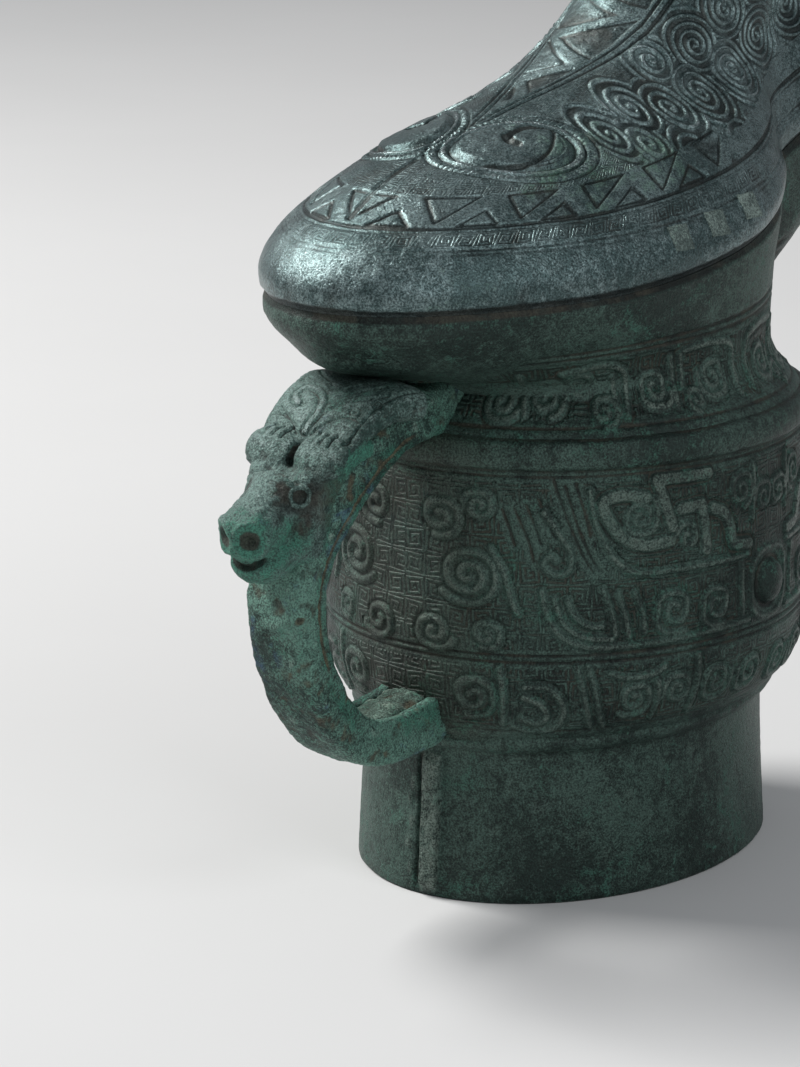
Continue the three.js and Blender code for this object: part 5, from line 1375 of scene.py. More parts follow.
SCROLL_SPOTS = np.array([
    (26, 225, 6.4, 1), (19.5, 213.5, 6.2, -1), (5.5, 211, 5.2, 1), (1, 200.5, 5.6, -1), (-12, 204, 4.6, 1),
    (40, 233, 6.2, -1), (37, 217.5, 6.4, 1), (22, 201, 5.0, 1), (55, 241, 6.0, 1), (55, 224.5, 6.6, -1),
    (42, 204, 5.2, -1), (74, 246, 5.6, -1), (74, 231, 6.6, 1), (63, 209.5, 5.6, 1), (92, 246, 5.4, 1),
    (92, 232, 6.2, -1), (82, 217, 5.4, -1), (104, 243, 4.8, 1), (110, 230, 5.2, -1), (124, 238, 4.4, 1),
    (10, 222, 5.0, 1), (-6, 212, 4.6, -1), (-20, 207, 4.2, -1),
])
SCROLL_PITCH, SCROLL_LINE, SCROLL_FLAT, SCROLL_REACH = 2.3, 0.52, 1.12, 1.75


def scroll_field(flank):
    """Cloud scrolls on the lid's flanks, in X and Z: the raised line, and how far it covers the ground.

    Each place belongs to the centre that is nearest for its size. A line winds out from there at an even
    pitch, so that neighbouring coils meet in points and hollow lozenges.
    """
    spots, sizes, hands = SCROLL_SPOTS[:, :2], SCROLL_SPOTS[:, 2], SCROLL_SPOTS[:, 3]
    share = np.stack([np.hypot(*np.moveaxis(flank - spot, -1, 0)) / size for spot, size in zip(spots, sizes)])
    own = share.argmin(0)
    away = flank - spots[own]
    turn = np.arctan2(away[..., 1], away[..., 0]) * hands[own] / (2 * np.pi)
    wound = np.mod(np.hypot(away[..., 0], away[..., 1] * SCROLL_FLAT) / SCROLL_PITCH - turn, 1)
    near = smooth((SCROLL_REACH - share.min(0)) / 0.2)
    return near * smooth(1.3 - np.abs(wound - 0.5) * SCROLL_PITCH / SCROLL_LINE), near


SPINE_HALF = ((-54, -34, -14, 4, 14, 40), (0.4, 3.6, 8.6, 13.4, 15.4, 16.6))
SPINE_PERIOD, SPINE_MARGIN = 21.0, 3.0


def spine_relief(points, along, levels):
    """The wedge of triangles up the spine, which opens from between the whorls, and the room it takes."""
    x, y = points[..., 0], points[..., 1]
    half = np.interp(x, *SPINE_HALF)
    room = np.maximum(half - SPINE_MARGIN, 1.0)
    behind = (levels > 3.2) & (x < neck_middle - 6)
    on_top = behind * smooth((half + 2.5 - np.abs(y)) / 1.0)
    edges = ridge(np.abs(y), half, 0.6, 1.2) + smooth(1.2 - np.abs(np.abs(y) - half + 1.9) / 0.5)
    share = y / room
    saw = np.abs(np.mod(along / SPINE_PERIOD, 1) * 2 - 1) * 2 - 1
    inside = (np.abs(share) < 1.0) & (half > 5)
    lean = room * 2 / (SPINE_PERIOD / 2)
    off = (share - saw) * room / np.sqrt(1 + lean**2)
    sunk = smooth((np.abs(off) - 2.0) / 0.6) * inside
    edge = ridge(np.abs(off), 2.2, 0.7) * inside
    carved = -0.6 * np.clip(edges, 0, 1) - 0.25 * sunk - 0.5 * edge
    return on_top * carved, on_top * smooth((half + 1.5 - np.abs(y)) / 1.0)


def lid_relief(level, bearing, base, normal):
    """The lid's whole relief, the climb from the line round the snout, the run round the lid and the marks.

    Whorls lie over the spine's wedge, the wedge over the band of triangles, and the scrolls take what remains
    of the flanks. A line runs round the snout below the triangles, and a narrow meander below that.
    """
    fine = np.linspace(0, LID_TOP, 361)
    turns = bearing[0]
    climb_table = run_along(lid_point(*np.meshgrid(fine, turns, indexing="ij")), 0)
    spot = level[:, 0] / LID_TOP * 360
    i = np.minimum(spot.astype(int), 359)
    climb = mix(climb_table[i], climb_table[i + 1], (spot - i)[:, None])
    line_at = np.searchsorted(fine, SNOUT_LINE)
    climb = climb - climb_table[line_at]
    around = run_along(lid_point(np.full_like(turns, GIRTH_LEVEL), turns), 0)
    total = around[-1] * (1 + 1 / len(turns))
    girth = np.broadcast_to(np.minimum(around, total - around), level.shape)
    relief, bosses, taken = np.zeros((3, *level.shape))
    for side in FLANKS:
        shape, boss, room = whorl_relief(base, normal, side)
        relief += shape
        bosses += boss
        taken = np.maximum(taken, room)
    spine = np.broadcast_to(climb[:, :1], level.shape)
    wedge, room = spine_relief(base, spine, level)
    relief += wedge * (1 - taken)
    taken = np.maximum(taken, room)
    flats, edges = triangle_band(girth, climb)
    behind = smooth((16 - base[..., 0]) / 8) * (level > 2.6)
    band = behind * smooth((TRIANGLE_HEIGHT + 1 - climb) / 0.6) * smooth((climb + 0.4) / 0.6) * (1 - taken)
    relief += band * (-0.1 * flats - TRIANGLE_CUT * edges)
    taken = np.maximum(taken, band)
    for place, width, depth in EDGE_LINES:
        relief -= depth * ridge(climb, place, width, 1.3) * (level > 1.2)
    flank = np.stack([base[..., 0], base[..., 2]], -1)
    coils, covered = scroll_field(flank)
    upright = smooth((np.abs(normal[..., 1]) - 0.2) / 0.2) * (climb > 8) * (1 - taken)
    relief += upright * (COIL_RISE * coils - COIL_GROUND * covered)
    ground = (1 - taken) * np.maximum(
        upright * (1 - covered), behind * (climb > TRIANGLE_HEIGHT + 1.2) * (1 - upright),
    )
    meander = smooth((climb + 7.6) / 0.4) * smooth((-2.2 - climb) / 0.4) * smooth((24 - base[..., 0]) / 10)
    relief += ripples(base, (0.2, 17, 31), (0.08, 5, 32))
    relief *= smooth((LID_TOP - level) / 0.12) * smooth(level / 0.4)
    # The rounded lower edge also lowers the relief mark, so the patina paints a line of shade along the seam.
    relief -= SEAM_ROUND * smooth(1 - level / 0.4)
    greened = np.hypot((base[..., 0] + 30) / 26, (np.abs(base[..., 1]) - 34) / 15)
    marks = {
        "relief": relief - bosses, "ground": np.clip(np.maximum(ground, 0.8 * meander), 0, 1),
        "bloom": 0.55 * smooth(1.4 - greened) * (climb > 0),
    }
    return relief, climb, around, marks


def lid_skin(name, start, end, count, columns, even_at):
    """One belt of the lid's carved outside, closed behind; belts meet in cut lines."""
    turns = even_bearings(lid_point, even_at, columns)
    levels = even_levels(lid_point, np.radians(MERIDIAN), start, end, count)
    level, bearing = np.meshgrid(levels, turns, indexing="ij")
    base, normal = lid_point(level, bearing), lid_normal(level, bearing)
    relief, climb, around, marks = lid_relief(level, bearing, base, normal)
    inner_levels = np.linspace(end, start, 8)
    rings = np.concatenate([base + relief[..., None] * normal, lid_rings(inner_levels, turns, -SKIN)])
    run = np.append(around, around[-1] * (1 + 1 / columns))
    behind = np.zeros((len(inner_levels), columns + 1))
    height = np.concatenate([np.column_stack([climb, climb[:, 0]]), behind])
    unrolled = np.stack([np.broadcast_to(run, height.shape), height + PATTERN_SHIFT], -1) * MM
    return add_loft(
        name, rings, "lid", LID_BRONZE, joined=True,
        marks=with_back(marks, len(inner_levels)), unrolled=unrolled, sharp=(0, count - 1),
    )


def lid_liner():
    """The lid's plain inside: a shell under the carved skins, with the land for the head and the flange."""
    turns = even_bearings(lid_point, 2.0, 360)
    outset, inset = WALL + FLANGE_GAP, WALL + FLANGE_GAP + FLANGE_WALL
    rings = np.concatenate([
        lid_rings([0], turns, -SEAM_LINER), lid_rings(np.linspace(0.5, LID_TOP - 0.1, 24), turns, -SKIN / 2),
        [neck_mouth(0.9, NECK_TOP, turns)], [neck_mouth(NECK_LAND, NECK_TOP, turns)],
        [neck_mouth(NECK_LAND, NECK_TOP - SPIGOT_DEPTH - 1.5, turns)],
        lid_rings(np.linspace(LID_TOP - 1, 1.3, 12), turns, -LID_WALL),
        [flange_ring(inset, 0, turns)], [flange_ring(inset, FLANGE_DEPTH, turns)],
        [flange_ring(outset, FLANGE_DEPTH, turns)], [flange_ring(outset, 0, turns)],
    ])
    return add_loft("lid_liner", rings, "lid", HEAD_BRONZE, joined=True, replaced=["lid_shell"])


def lid_shell():
    """The lid: its liner, and the belts of its outside from the plain edge up to the nape."""
    lid_liner()
    belts = (
        ("lid_edge", SNOUT_LINE, 64, 800, 2.4),
        ("lid_back", 4.3, 84, 960, 4.0),
        ("lid_shoulder", 5.6, 84, 960, 4.0),
        ("lid_neck", 7.2, 96, 800, 7.0),
        ("lid_nape", LID_TOP, 96, 800, 7.0),
    )
    start = 0.0
    for name, end, count, columns, even_at in belts:
        lid_skin(name, start, end, count, columns, even_at)
        start = end


def lid_spacers():
    """Square plugs in the lid's side walls: patches of the lid's own curve, a hair proud, closed behind."""
    for index, (side, angle) in enumerate((side, angle) for side in FLANKS for angle in LID_SPACER_ANGLES):
        level, bearing = np.array(LID_SPACER_STEP), np.array(side * np.radians(angle))
        centre, normal = lid_point(level, bearing), lid_normal(level, bearing)
        up = unit(np.array([0, 0, 1.0]) - normal * normal[2])
        across = np.cross(up, normal)
        steps = np.linspace(-1, 1, PLUG_STEPS + 1) * SPACER_SIZE / 2
        a, b = np.meshgrid(steps, steps, indexing="ij")
        ragged = 1 + 0.05 * ripple(np.stack([a, b, a * 0 + index], -1), 5, 41)
        spots = centre + (a * ragged)[..., None] * across + (b * ragged)[..., None] * up
        curved = spots - PLUG_BOW * (a**2)[..., None] * normal - PLUG_CAMBER * (b**2)[..., None] * normal
        front, back = curved + PLUG_PROUD * normal, spots - PLUG_DEPTH * normal
        run = np.arange(PLUG_STEPS)
        low, high, middle = 0 * run, 0 * run + PLUG_STEPS, PLUG_STEPS // 2
        sides = ((run, low), (high, run), (high - run, high), (low, high - run))
        border = np.concatenate([np.column_stack(pair) for pair in sides])
        inner = [
            front[tuple(((border - middle) * share + middle).round().astype(int).T)]
            for share in (1 / 3, 2 / 3, 1)
        ]
        rings = np.stack([*inner, back[tuple(border.T)]])
        add_loft(
            f"lid_spacer_plug_{index + 1}", rings, "lid", SPACER_BRONZE,
            replaced=[f"lid_spacer_{index + 1}"],
        )


# Ox head


OX_PIVOT = np.array([-(HANDLE_REACH - 22), 0, HANDLE_TOP - 21])


def in_plane(degrees):
    """The direction in the middle plane at an angle from +X towards +Z."""
    angle = np.radians(degrees)
    return np.stack([np.cos(angle), np.zeros_like(angle), np.sin(angle)], -1)


def fan_block(stations, inner, power, pivot, count=40, columns=72):
    """A block whose sections fan about a pivot: ovals from an inner radius out to each station's reach."""
    angle = np.linspace(stations[0][0], stations[-1][0], count)
    outer, half = through(stations, angle).T
    middle = (inner + outer) / 2
    bearing = full_turn(columns)
    far = reach(bearing, (outer - middle)[:, None], half[:, None], power)
    rings = pivot + in_plane(angle)[:, None] * (middle[:, None] + far * np.cos(bearing))[..., None]
    rings[..., 1] += far * np.sin(bearing)
    return closed_loft(rings)


def turned(profile, root, axis, count=60, columns=72):
    """A turned body: a profile of [along, radius] carried round an axis from its root."""
    axis = unit(np.asarray(axis, float))
    side = unit(np.cross(axis, [0, 1, 0]) if abs(axis[1]) < 0.9 else np.cross(axis, [1, 0, 0]))
    other = np.cross(axis, side)
    along, radius = curve(*profile, count=count).T
    bearing = full_turn(columns)
    ring = np.cos(bearing)[:, None] * side + np.sin(bearing)[:, None] * other
    rings = root + along[:, None, None] * axis + np.maximum(radius, 0.02)[:, None, None] * ring
    return closed_loft(rings)


def egg(centre, half, along, across, count=24, columns=40):
    """An egg-shaped body: three half sizes along two given directions and the one square to both."""
    first = unit(np.asarray(along, float))
    third = unit(np.cross(first, across))
    second = np.cross(third, first)
    latitude = np.linspace(-np.pi / 2 + 0.02, np.pi / 2 - 0.02, count)[:, None]
    bearing = full_turn(columns)
    rings = (
        (half[0] * np.sin(latitude) * np.ones(columns))[..., None] * first
        + (half[1] * np.cos(latitude) * np.cos(bearing))[..., None] * second
        + (half[2] * np.cos(latitude) * np.sin(bearing))[..., None] * third
    )
    return closed_loft(rings + np.asarray(centre, float))


SKIN_EASE = 0.6


def one_skin(parts, fineness, rounds):
    """Several closed bodies as one skin: a fine even net of squares is wrapped round them and then relaxed.

    Each round moves every point most of the way to the mean of its neighbours, which softens the joints.
    """
    points, faces, start = [], [], 0
    for spots, quads, triangles in parts:
        points.append(spots)
        faces += (quads + start).tolist() + (triangles + start).tolist()
        start += len(spots)
    mesh = bpy.data.meshes.new("wrap")
    mesh.from_pydata(np.concatenate(points).tolist(), [], faces)
    thing = put("wrap", mesh)
    wrap = thing.modifiers.new("wrap", "REMESH")
    wrap.mode, wrap.voxel_size, wrap.adaptivity = "VOXEL", fineness, 0.0
    made = thing.evaluated_get(bpy.context.evaluated_depsgraph_get()).to_mesh()
    skin = np.empty(len(made.vertices) * 3)
    made.vertices.foreach_get("co", skin)
    skin = skin.reshape(-1, 3)
    quads = np.empty(len(made.loops), np.int64)
    made.loops.foreach_get("vertex_index", quads)
    quads = quads.reshape(-1, 4)
    bpy.data.objects.remove(thing)
    bpy.data.meshes.remove(mesh)
    first, second = quads.ravel(), np.roll(quads, -1, axis=1).ravel()
    total = len(skin)
    shares = np.bincount(first, minlength=total) + np.bincount(second, minlength=total)
    for _ in range(rounds):
        near = [
            np.bincount(first, skin[second, k], total) + np.bincount(second, skin[first, k], total)
            for k in range(3)
        ]
        skin = mix(skin, np.column_stack(near) / shares[:, None], SKIN_EASE)
    return skin, quads


def skin_normals(points, quads):
    """The outward direction at each point, from the faces round it."""
    corner = points[quads]
    square = np.cross(corner[:, 2] - corner[:, 0], corner[:, 3] - corner[:, 1])
    total = [np.bincount(quads.ravel(), np.repeat(square[:, k], 4), len(points)) for k in range(3)]
    return unit(np.column_stack(total))


def bump_at(points, spot, radius):
    """1 at a spot, falling to 0 at a radius, and the distance from it, on both sides of the middle plane."""
    gap = np.linalg.norm(np.column_stack([points[:, 0], np.abs(points[:, 1]), points[:, 2]]) - spot, axis=1)
    return smooth(1 - gap / radius), gap


CROWN_FRONT, CROWN_RADIUS = 140, 33
OX_CROWN_PIVOT = OX_PIVOT + np.array([6.0, 0, -1.2])
OX_MUZZLE_ROOT = OX_PIVOT + in_plane(163) * 24.2 + np.array([0, 0, -1.2])
OX_CROWN_STATIONS = [
    [80, 33.8, 21.0], [86, 34.0, 19.6], [94, 33.8, 18.0], [104, 33.0, 17.0],
    [116, 31.8, 16.4], [128, 30.6, 16.0], [138, 29.6, 15.0], [144, 28.2, 13.0],
]
OX_SKULL_STATIONS = [
    [84, 20.0, 10.5], [110, 21.0, 11.0], [128, 22.0, 11.4], [142, 24.2, 11.5], [152, 26.8, 11.4],
    [162, 28.8, 11.3], [176, 30.0, 11.2], [192, 30.4, 10.8], [206, 27.0, 9.6],
]
OX_EYE = np.array([-125.0, 9.3, 125.7])
OX_BROW = np.array([-124.0, 8.0, 131.0])
OX_CHEEK = np.array([-115.0, 11.0, 123.0])


def crown_cuts():
    """The crown's carving on its plan: a raised hook, fine cuts and the claws over the front lobes."""
    hook = curve(
        (14.0, -7.4), (16.6, -10.2), (19.6, -9.8), (20.4, -6.8), (18.6, -2.6), (15.5, -0.2), (11.9, 0.4),
        (8.8, -0.2), (5.6, -0.4), count=60,
    )
    near = [
        curve((18.4, 3.2), (22.0, 7.2), (26.5, 11.9), count=20),
        curve((21.6, 1.4), (25.2, 5.6), (30.0, 10.6), count=20),
        curve((7.5, 0.9), (12.9, 2.9), (17.2, 7.0), (20.9, 12.4), (24.4, 15.2), count=30),
        curve((4.2, 1.4), (8.1, 3.9), (11.2, 7.1), (12.6, 10.6), (12.0, 14.6), count=26),
        spiral((14.8, 10.6), 0.3, 2.1, 1.3, 0, 1, 2.0, 30),
        spiral((20.2, 14.6), 0.2, 1.5, 1.2, 90, 1, 2.0, 24),
    ]
    far = [
        curve((24.6, -4.4), (27.0, -9.0), (31.0, -13.4), count=20),
        curve((6.6, -3.6), (9.4, -8.4), (12.6, -12.6), count=20),
        curve((4.4, -2.6), (8.0, -6.4), (9.6, -10.6), (9.4, -14.4), count=24),
        spiral((24.0, -12.6), 0.3, 1.8, 1.2, 0, -1, 2.0, 30),
    ]
    edge = curve((3.5, 14.0), (12, 14.7), (20, 15.4), (28, 17.0), (33, 18.4), count=24)
    edges = [edge * [1, side] for side in FLANKS]
    claws = [line((6.2, side * 0.94 * y), (1.6, side * y)) for y in (5.0, 8.0, 11.0) for side in FLANKS]
    return hook, near + far + edges, claws


def ox_head():
    """The ox head: crown with flared back corners, front lobes, skull, muzzle and chin, then carved.

    On the crown the plan is the arc from its front back and the distance towards the near flank.
    """
    muzzle = in_plane(180 + OX_MUZZLE_DIP)
    parts = [
        fan_block(OX_CROWN_STATIONS, OX_CROWN_INNER, 3.6, OX_CROWN_PIVOT),
        fan_block(OX_SKULL_STATIONS, OX_THROAT, 2.8, OX_PIVOT),
        turned(
            [(0, 9.8), (6, 8.5), (12, 8.1), (16, 7.9), (18.8, 6.2), (20.2, 3.1), (20.6, 0)], OX_MUZZLE_ROOT,
            muzzle,
        ),
        egg((-128.0, 0, 109.6), (9.6, 8.8, 6.6), in_plane(200), (0, 1, 0)),
    ]
    for side in FLANKS:
        lobe = OX_CROWN_PIVOT + in_plane(142.5) * 29.4 + np.array([0, side * 8.4, 0])
        parts.append(egg(lobe, (8.6, 3.4, 6.6), (0.1, side, 0.08), in_plane(142.5)))
        temple = OX_PIVOT + in_plane(154) * 24.0 + np.array([0, side * 7.4, 0])
        parts.append(egg(temple, (4.4, 3.6, 4.4), (0, 1, 0), in_plane(150)))
    points, quads = one_skin(parts, fineness=0.4, rounds=6)
    normal = skin_normals(points, quads)
    from_pivot = points - OX_CROWN_PIVOT
    angle = np.degrees(np.arctan2(from_pivot[:, 2], from_pivot[:, 0])) % 360
    radius = np.hypot(from_pivot[:, 0], from_pivot[:, 2])
    aside = np.abs(points[:, 1])
    arc = np.radians(CROWN_FRONT - angle) * CROWN_RADIUS
    plan = np.column_stack([arc, -points[:, 1]])
    on_crown = (
        smooth((radius - 26.5) / 1.5) * smooth((normal * in_plane(angle)).sum(1) / 0.3)
        * smooth((arc + 4) / 2) * (arc < 40)
    )
    hook, cuts, claws = crown_cuts()
    cut_in = np.maximum(0.75 * ink(plan, cuts, 0.6, 0.36), 0.8 * rims(plan, [hook], 1.3, 0.55, 0.34))
    relief = on_crown * (0.25 * ink(plan, [hook], 1.5, 0.5) - cut_in - 0.9 * ink(plan, claws, 0.8, 0.45))
    notch = smooth((arc + 7) / 3) * smooth((3.5 - arc) / 4)
    relief -= 1.5 * notch * smooth(1 - aside / 1.6) * smooth((radius - 23) / 3)
    pit, from_eye = bump_at(points, OX_EYE, 6.0)
    relief += (
        -1.1 * pit + 1.0 * ridge(from_eye, 2.5, 0.8, 1.3)
        + 1.1 * smooth(1.1 - from_eye / 1.2)
    )
    nostril, from_nostril = bump_at(points, OX_MUZZLE_ROOT + muzzle * 20.2 + np.array([0, 4.6, 2.6]), 3.6)
    relief += -2.4 * nostril + 0.7 * ridge(from_nostril, 4.6, 1.4)
    ahead = points - OX_MUZZLE_ROOT
    forward, below = ahead @ muzzle, ahead @ in_plane(270 + OX_MUZZLE_DIP)
    relief -= (
        1.9 * smooth(1.1 - np.abs(below - 5.8 + 0.03 * aside**2) / 1.0) * smooth((forward - 13) / 2.5)
        * smooth((6.6 - aside) / 2)
    )
    brow, _ = bump_at(points, OX_BROW, 5.0)
    cheek, _ = bump_at(points, OX_CHEEK, 12.0)
    rough = ripples(points, (0.22, 6, 51), (0.16, 2.6, 52), (0.08, 1.5, 53))
    relief += 0.8 * brow + rough * (1 - 0.5 * on_crown)
    low_head = smooth((forward - 1) / 8) * smooth((126 - points[:, 2]) / 8)
    behind = smooth((points[:, 0] + 122) / 8) * (1 - on_crown) * smooth((140 - points[:, 2]) / 6)
    marks = {
        "relief": relief * 0.9 + 0.3 * on_crown - 0.25 * smooth((12 - from_eye) / 6),
        "soil": 0.7 * smooth(1.3 * cheek),
        "bloom": np.maximum(0.75 * low_head, 0.9 * behind),
    }
    points = points + relief[:, None] * normal
    return add_mesh(
        "ox_head_carved", points, quads, NO_TRIANGLES, "vessel", OX_BRONZE,
        replaced=["handle_ox_head"], marks=marks,
    )


# Beast's head and horns

HEAD_PIVOT = np.array([NECK_TOP_FRONT + HEAD_PIVOT_GAP, 0, NECK_TOP])
EYE_TURN, EYE_INSET, EAR_TURN, EAR_INSET = 88, 6.5, 40, 4
EAR_WAY = (-0.45, 0.75, 0.5)
head_half, muzzle_half = HEAD_WIDTH / 2, MUZZLE_WIDTH / 2
HEAD_STATIONS = [[level, *sizes] for level, sizes in enumerate([
    [0, 0, HEAD_PIVOT_GAP, NECK_TOP_FRONT - NECK_TOP_REAR + HEAD_PIVOT_GAP, neck_half],
    [30, 0, HEAD_PIVOT_GAP, HEAD_NAPE, head_half + 0.5],
    [60, 0, HEAD_PIVOT_GAP, HEAD_CROWN, head_half],
    [90, 0, HEAD_PIVOT_GAP, HEAD_BROW, head_half - 2],
    [
        90, MUZZLE_LENGTH * 0.36, HEAD_PIVOT_GAP - 1, mix(HEAD_BROW, HEAD_NOSE, 0.55),
        mix(head_half, muzzle_half, 0.65),
    ],
    [90, MUZZLE_LENGTH * 0.68, HEAD_PIVOT_GAP - 1, HEAD_NOSE + 1, muzzle_half + 0.5],
    [90, MUZZLE_LENGTH * 0.9 - 0.5, HEAD_PIVOT_GAP, HEAD_NOSE, muzzle_half],
    [90, MUZZLE_LENGTH - 0.9, HEAD_PIVOT_GAP + 3.5, HEAD_NOSE - 4, muzzle_half - 4],
])]


def head_rings(levels, columns):
    """Rings of the beast's head: ovals that fan up about the throat and then run along the muzzle."""
    turn, advance, near, far, half = through(HEAD_STATIONS, levels).T[..., None]
    bearing = full_turn(columns)
    middle = (near + far) / 2
    out = reach(bearing, far - middle, half, 2.2)
    rings = HEAD_PIVOT + in_plane(180 - turn[:, 0])[:, None] * (middle - out * np.cos(bearing))[..., None]
    rings[..., 0] += advance
    rings[..., 1] += out * np.sin(bearing)
    return rings


def on_head(turn, aside):
    """The point on top of the head at a turn about the throat and a distance from the middle plane."""
    _, _, near, far, half = through(HEAD_STATIONS, turn / 30)
    middle = (near + far) / 2
    out = (far - middle) * np.sqrt(1 - (aside / half) ** 2)
    return HEAD_PIVOT + in_plane(180 - turn) * (middle + out) + np.array([0, aside, 0])


def beast_head():
    """The beast's head: skull, muzzle, eyes, ears, brows and nostrils in one skin, then carved."""
    columns = 90
    rings = head_rings(np.linspace(0, len(HEAD_STATIONS) - 1, 60), columns)
    seat = neck_mouth(0, NECK_TOP + SEAT_GAP, full_turn(columns))
    rings = np.concatenate([[seat], rings[3:]])
    parts = [closed_loft(rings)]
    for side in FLANKS:
        eye = on_head(EYE_TURN, side * (head_half - EYE_INSET))
        ear_way = unit(np.array(EAR_WAY) * [1, side, 1])
        ear = on_head(EAR_TURN, side * (head_half - EAR_INSET)) + ear_way * 5.1
        parts.append(egg(eye, (EYE_RADIUS,) * 3, (1, 0, 0), (0, 1, 0)))
        parts.append(egg(ear, (8.5, 2.5, 5.0), ear_way, (1, 0, 0.4)))
        steps = ((10, -5, 0.6), (4, -3.5, 4.6), (-4, 0, 5.6), (-11, 3.0, 3.4))
        brow = [eye + np.array(step) * [1, side, 1] for step in steps]
        parts += [egg(a, (4.6, 2.0, 2.2), b - a, (0, 0, 1)) for a, b in zip(brow[:-1], brow[1:])]
        wing = HEAD_PIVOT + np.array([MUZZLE_LENGTH - 6.4, side * 7.2, HEAD_NOSE - 2.5])
        parts.append(egg(wing, (4.8, 4.4, 3.6), (1, 0, 0), (0, 1, 0)))
    points, quads = one_skin(parts, fineness=0.6, rounds=4)
    normal = skin_normals(points, quads)
    aside = np.abs(points[:, 1])
    x, z = points[:, 0] - HEAD_PIVOT[0], points[:, 2] - HEAD_PIVOT[2]
    flank = np.column_stack([x, z])
    sideways = smooth((np.abs(normal[:, 1]) - 0.35) / 0.2)
    mouth_z = HEAD_PIVOT_GAP + 6.5 + 1.6 * smooth((14 - x) / 10)
    mouth_line = ridge(z, mouth_z, 1.1, 1.2) * smooth((x - 9) / 3)
    lips = ridge(np.abs(z - mouth_z), 2.6, 1.1) * smooth((x - 8) / 3)
    relief = -2.0 * mouth_line + 0.6 * lips
    eye = on_head(EYE_TURN, head_half - EYE_INSET)
    _, gap = bump_at(points, eye, 9)
    around_eye, in_eye = ridge(gap, 6.6, 0.9), ridge(gap, 2.4, 0.7)
    relief -= 0.8 * around_eye + 0.7 * in_eye * (gap < 6)
    nostril, _ = bump_at(points, HEAD_PIVOT + np.array([MUZZLE_LENGTH - 2.7, 7.6, HEAD_NOSE - 1.6]), 2.6)
    relief -= 1.8 * nostril
    scrolls = [
        spiral((4, 13), 0.8, 6.6, 1.7, 40, 1), spiral((-12, 22), 0.8, 6.0, 1.7, 120, -1),
        spiral((-22, 38), 0.8, 5.6, 1.6, 60, 1), spiral((-34, 17), 0.8, 6.0, 1.7, 200, 1),
        spiral((-46, 14), 0.8, 6.0, 1.7, 20, -1), spiral((-40, 34), 0.8, 5.6, 1.6, 90, -1),
        spiral((20, 19), 0.7, 4.4, 1.5, 300, -1), spiral((-56, 26), 0.8, 4.6, 1.5, 140, 1),
        curve((10, 12), (16, 15), (26, 14), (34, 12), count=20),
        curve((-6, 8), (-20, 9), (-36, 6), (-60, 5), count=20),
        curve((-18, 29), (-28, 27), (-36, 26), count=12),
    ]
    relief += sideways * (0.5 * ink(flank, scrolls, 1.6, 0.5) - 0.5 * rims(flank, scrolls, 1.9, 0.8, 0.4))
    top = np.column_stack([x, aside])
    upward = smooth((normal[:, 2] - 0.4) / 0.3) * (1 - sideways)
    crest = [
        line((-16, 0.0), (-6, 5.2), (4, 0.0)), line((-13, 0.0), (-6, 3.4), (1.2, 0.0)), line((8, 0), (30, 0)),
        curve((8, 2.6), (18, 3.6), (30, 5), count=16), line((-54, 2), (-20, 2.4)), line((-56, 6), (-22, 7)),
        *(line((x0, 2.4), (x0 + 4, 6.4), (x0 + 8, 2.4)) for x0 in (-54, -45, -36, -27)),
    ]
    relief -= 0.6 * upward * ink(top, crest, 0.9, 0.45)
    ear = on_head(EAR_TURN, head_half - EAR_INSET) + unit(np.array(EAR_WAY)) * 5.6
    hollow, _ = bump_at(points, ear + np.array([1.2, -0.6, 1.2]), 5.0)
    relief -= 1.3 * hollow * smooth((normal[:, 0] + 0.1) / 0.4)
    relief += ripples(points, (0.2, 8, 61), (0.12, 3, 62))
    points = points + relief[:, None] * normal
    points[:, 2] = np.maximum(points[:, 2], NECK_TOP + SEAT_GAP * 0.5)
    return add_mesh(
        "beast_head_carved", points, quads, NO_TRIANGLES, "lid", HEAD_BRONZE,
        replaced=["lid_head"], marks={"relief": relief},
    )


HORN_WAY, HORN_WIND = (-0.28, 0.34, 0.9), 3.6


def bottle_horns():
    """Two bottle horns: a stem that swells to a shoulder and closes in a cone, with a wound line cut in."""
    for side, node in ((1, "horn_left"), (-1, "horn_right")):
        root = on_head(HORN_TURN, side * HORN_SPREAD)
        axis = unit(np.array(HORN_WAY) * [1, side, 1])
        profile = [
            (-3.0, HORN_STEM + 0.9), (0, HORN_STEM + 0.7), (HORN_HEIGHT * 0.1, HORN_STEM + 0.1),
            (HORN_HEIGHT * 0.16, HORN_STEM), (HORN_HEIGHT * 0.27, HORN_RADIUS - 0.8),
            (HORN_HEIGHT * 0.4, HORN_RADIUS), (HORN_HEIGHT * 0.55, HORN_RADIUS - 1.2),
            (HORN_HEIGHT * 0.82, HORN_RADIUS * 0.45), (HORN_HEIGHT * 0.96, HORN_RADIUS * 0.18),
            (HORN_HEIGHT - 0.3, 0.1),
        ]
        points, quads, triangles = turned(profile, root, axis, 110, 100)
        away = points - root
        along = away @ axis
        square = away - along[:, None] * axis
        angle = np.arctan2(square @ np.cross(axis, [0, 1, 0]), square @ np.array([0, 1.0, 0]))
        wound = np.abs(np.mod(along / HORN_WIND + side * angle / (2 * np.pi), 1) - 0.5)
        shoulder = smooth((along - HORN_HEIGHT * 0.2) / 2) * smooth((HORN_HEIGHT * 0.94 - along) / 3)
        collar = ridge(along, HORN_HEIGHT * 0.13, 0.9)
        relief = -0.55 * smooth((wound - 0.34) / 0.12) * shoulder + 0.4 * collar + 0.1 * ripple(points, 4, 71)
        points = points + relief[:, None] * unit(square)
        add_mesh(
            f"{node}_turned", points, quads, triangles, "lid", HEAD_BRONZE, replaced=[node],
            marks={"relief": relief},
        )


vessel_shell()
belly_skins()
neck_skin()
handle_strap()
handle_core_crust()
tenons()
lid_shell()
lid_spacers()
ox_head()
beast_head()
bottle_horns()

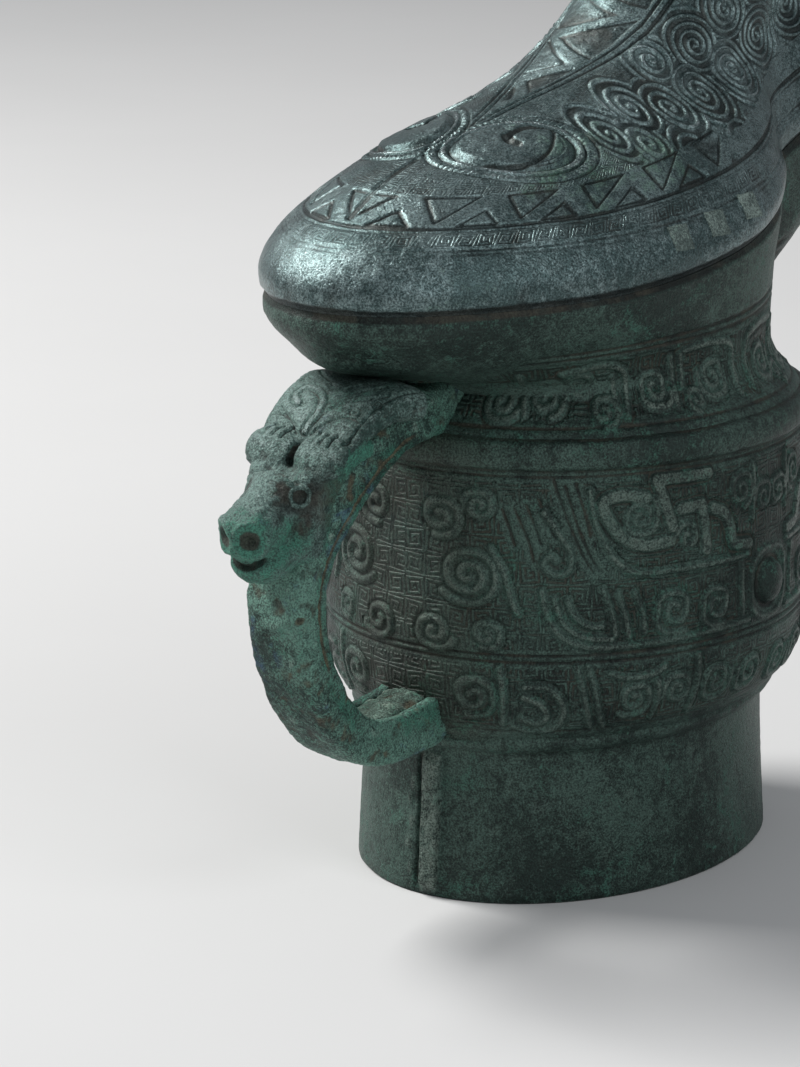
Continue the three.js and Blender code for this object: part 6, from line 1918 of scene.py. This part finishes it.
for node, material in (
    ("lid_head_core", FIRED_CLAY),
    *((f"floor_spacer_{i}", SPACER_BRONZE) for i in range(1, 5)),
):
    nodes[node].data.materials.clear()
    nodes[node].data.materials.append(material)


# Floor, light and camera


FLOOR_HALF = 9.0


def pale_floor():
    """A plain pale ground: one large sheet with a faint unevenness of tone."""
    material = bpy.data.materials.new("pale_floor")
    material.use_nodes = True
    tree = material.node_tree
    shader = tree.nodes["Principled BSDF"]
    shader.inputs["Roughness"].default_value = 1.0
    shader.inputs["Specular IOR Level"].default_value = 0.0
    place = node_of(tree, "ShaderNodeTexCoord").outputs["Object"]
    tone = blend_colour(tree, noise_of(tree, place, 3.0, 4), (0.58, 0.58, 0.58), (0.63, 0.63, 0.63))
    tree.links.new(tone, shader.inputs["Base Color"])
    mesh = bpy.data.meshes.new("floor")
    size = FLOOR_HALF
    mesh.from_pydata(
        [(-size, -size, 0), (size, -size, 0), (size, size, 0), (-size, size, 0)], [], [(0, 1, 2, 3)],
    )
    mesh.materials.append(material)
    floor = put("floor", mesh)


CAMERA_AT = np.array([-888.7, -666.0, 392.3])
CAMERA_LOOK = unit(np.array([0.74674, 0.61023, -0.26452]))
CAMERA_RIGHT = unit(np.cross(CAMERA_LOOK, [0, 0, 1]))
LENS, SENSOR = 138.24, 36.0
LAMP_TARGET = np.array([-20.0, 0, 130.0])


def to_world(point):
    """A point in millimetres about the foot's axis, as a place in the scene in metres."""
    return Vector(((point[0] + AXIS_X) * MM, point[1] * MM, point[2] * MM))


def add_camera():
    """The camera of the photograph: its place and view were solved from the foot's oval and the rim."""
    data = bpy.data.cameras.new("camera")
    data.lens, data.sensor_fit, data.sensor_height, data.sensor_width = LENS, "VERTICAL", SENSOR, SENSOR
    data.clip_start, data.clip_end = 0.05, 50
    camera = put("camera", data)
    camera.location = to_world(CAMERA_AT)
    camera.rotation_euler = Vector(CAMERA_LOOK).to_track_quat("-Z", "Y").to_euler()
    bpy.context.scene.camera = camera


def add_lamp(name, right, back, up, size, power, tint):
    """A square soft lamp, placed from the vessel's middle as the camera sees it, in millimetres."""
    level_look = unit(CAMERA_LOOK * [1, 1, 0])
    at = LAMP_TARGET + right * CAMERA_RIGHT + back * level_look + np.array([0, 0, up])
    data = bpy.data.lights.new(name, "AREA")
    data.energy, data.size, data.color = power, size * MM, tint
    lamp = put(name, data)
    lamp.location = to_world(at)
    lamp.rotation_euler = Vector(LAMP_TARGET - at).to_track_quat("-Z", "Y").to_euler()


def add_world():
    """A dim and slightly cool light from all round."""
    world = bpy.data.worlds.new("studio")
    bpy.context.scene.world = world
    world.use_nodes = True
    background = world.node_tree.nodes["Background"]
    background.inputs["Color"].default_value = (0.92, 0.95, 1.0, 1)
    background.inputs["Strength"].default_value = 0.3


pale_floor()
add_camera()
add_lamp("key", right=-1320, back=500, up=1540, size=900, power=58.0, tint=(1.0, 0.99, 0.97))
add_lamp("fill", right=640, back=-820, up=640, size=560, power=4.2, tint=(0.96, 0.98, 1.0))
add_world()
bpy.context.scene.view_settings.view_transform = "Standard"
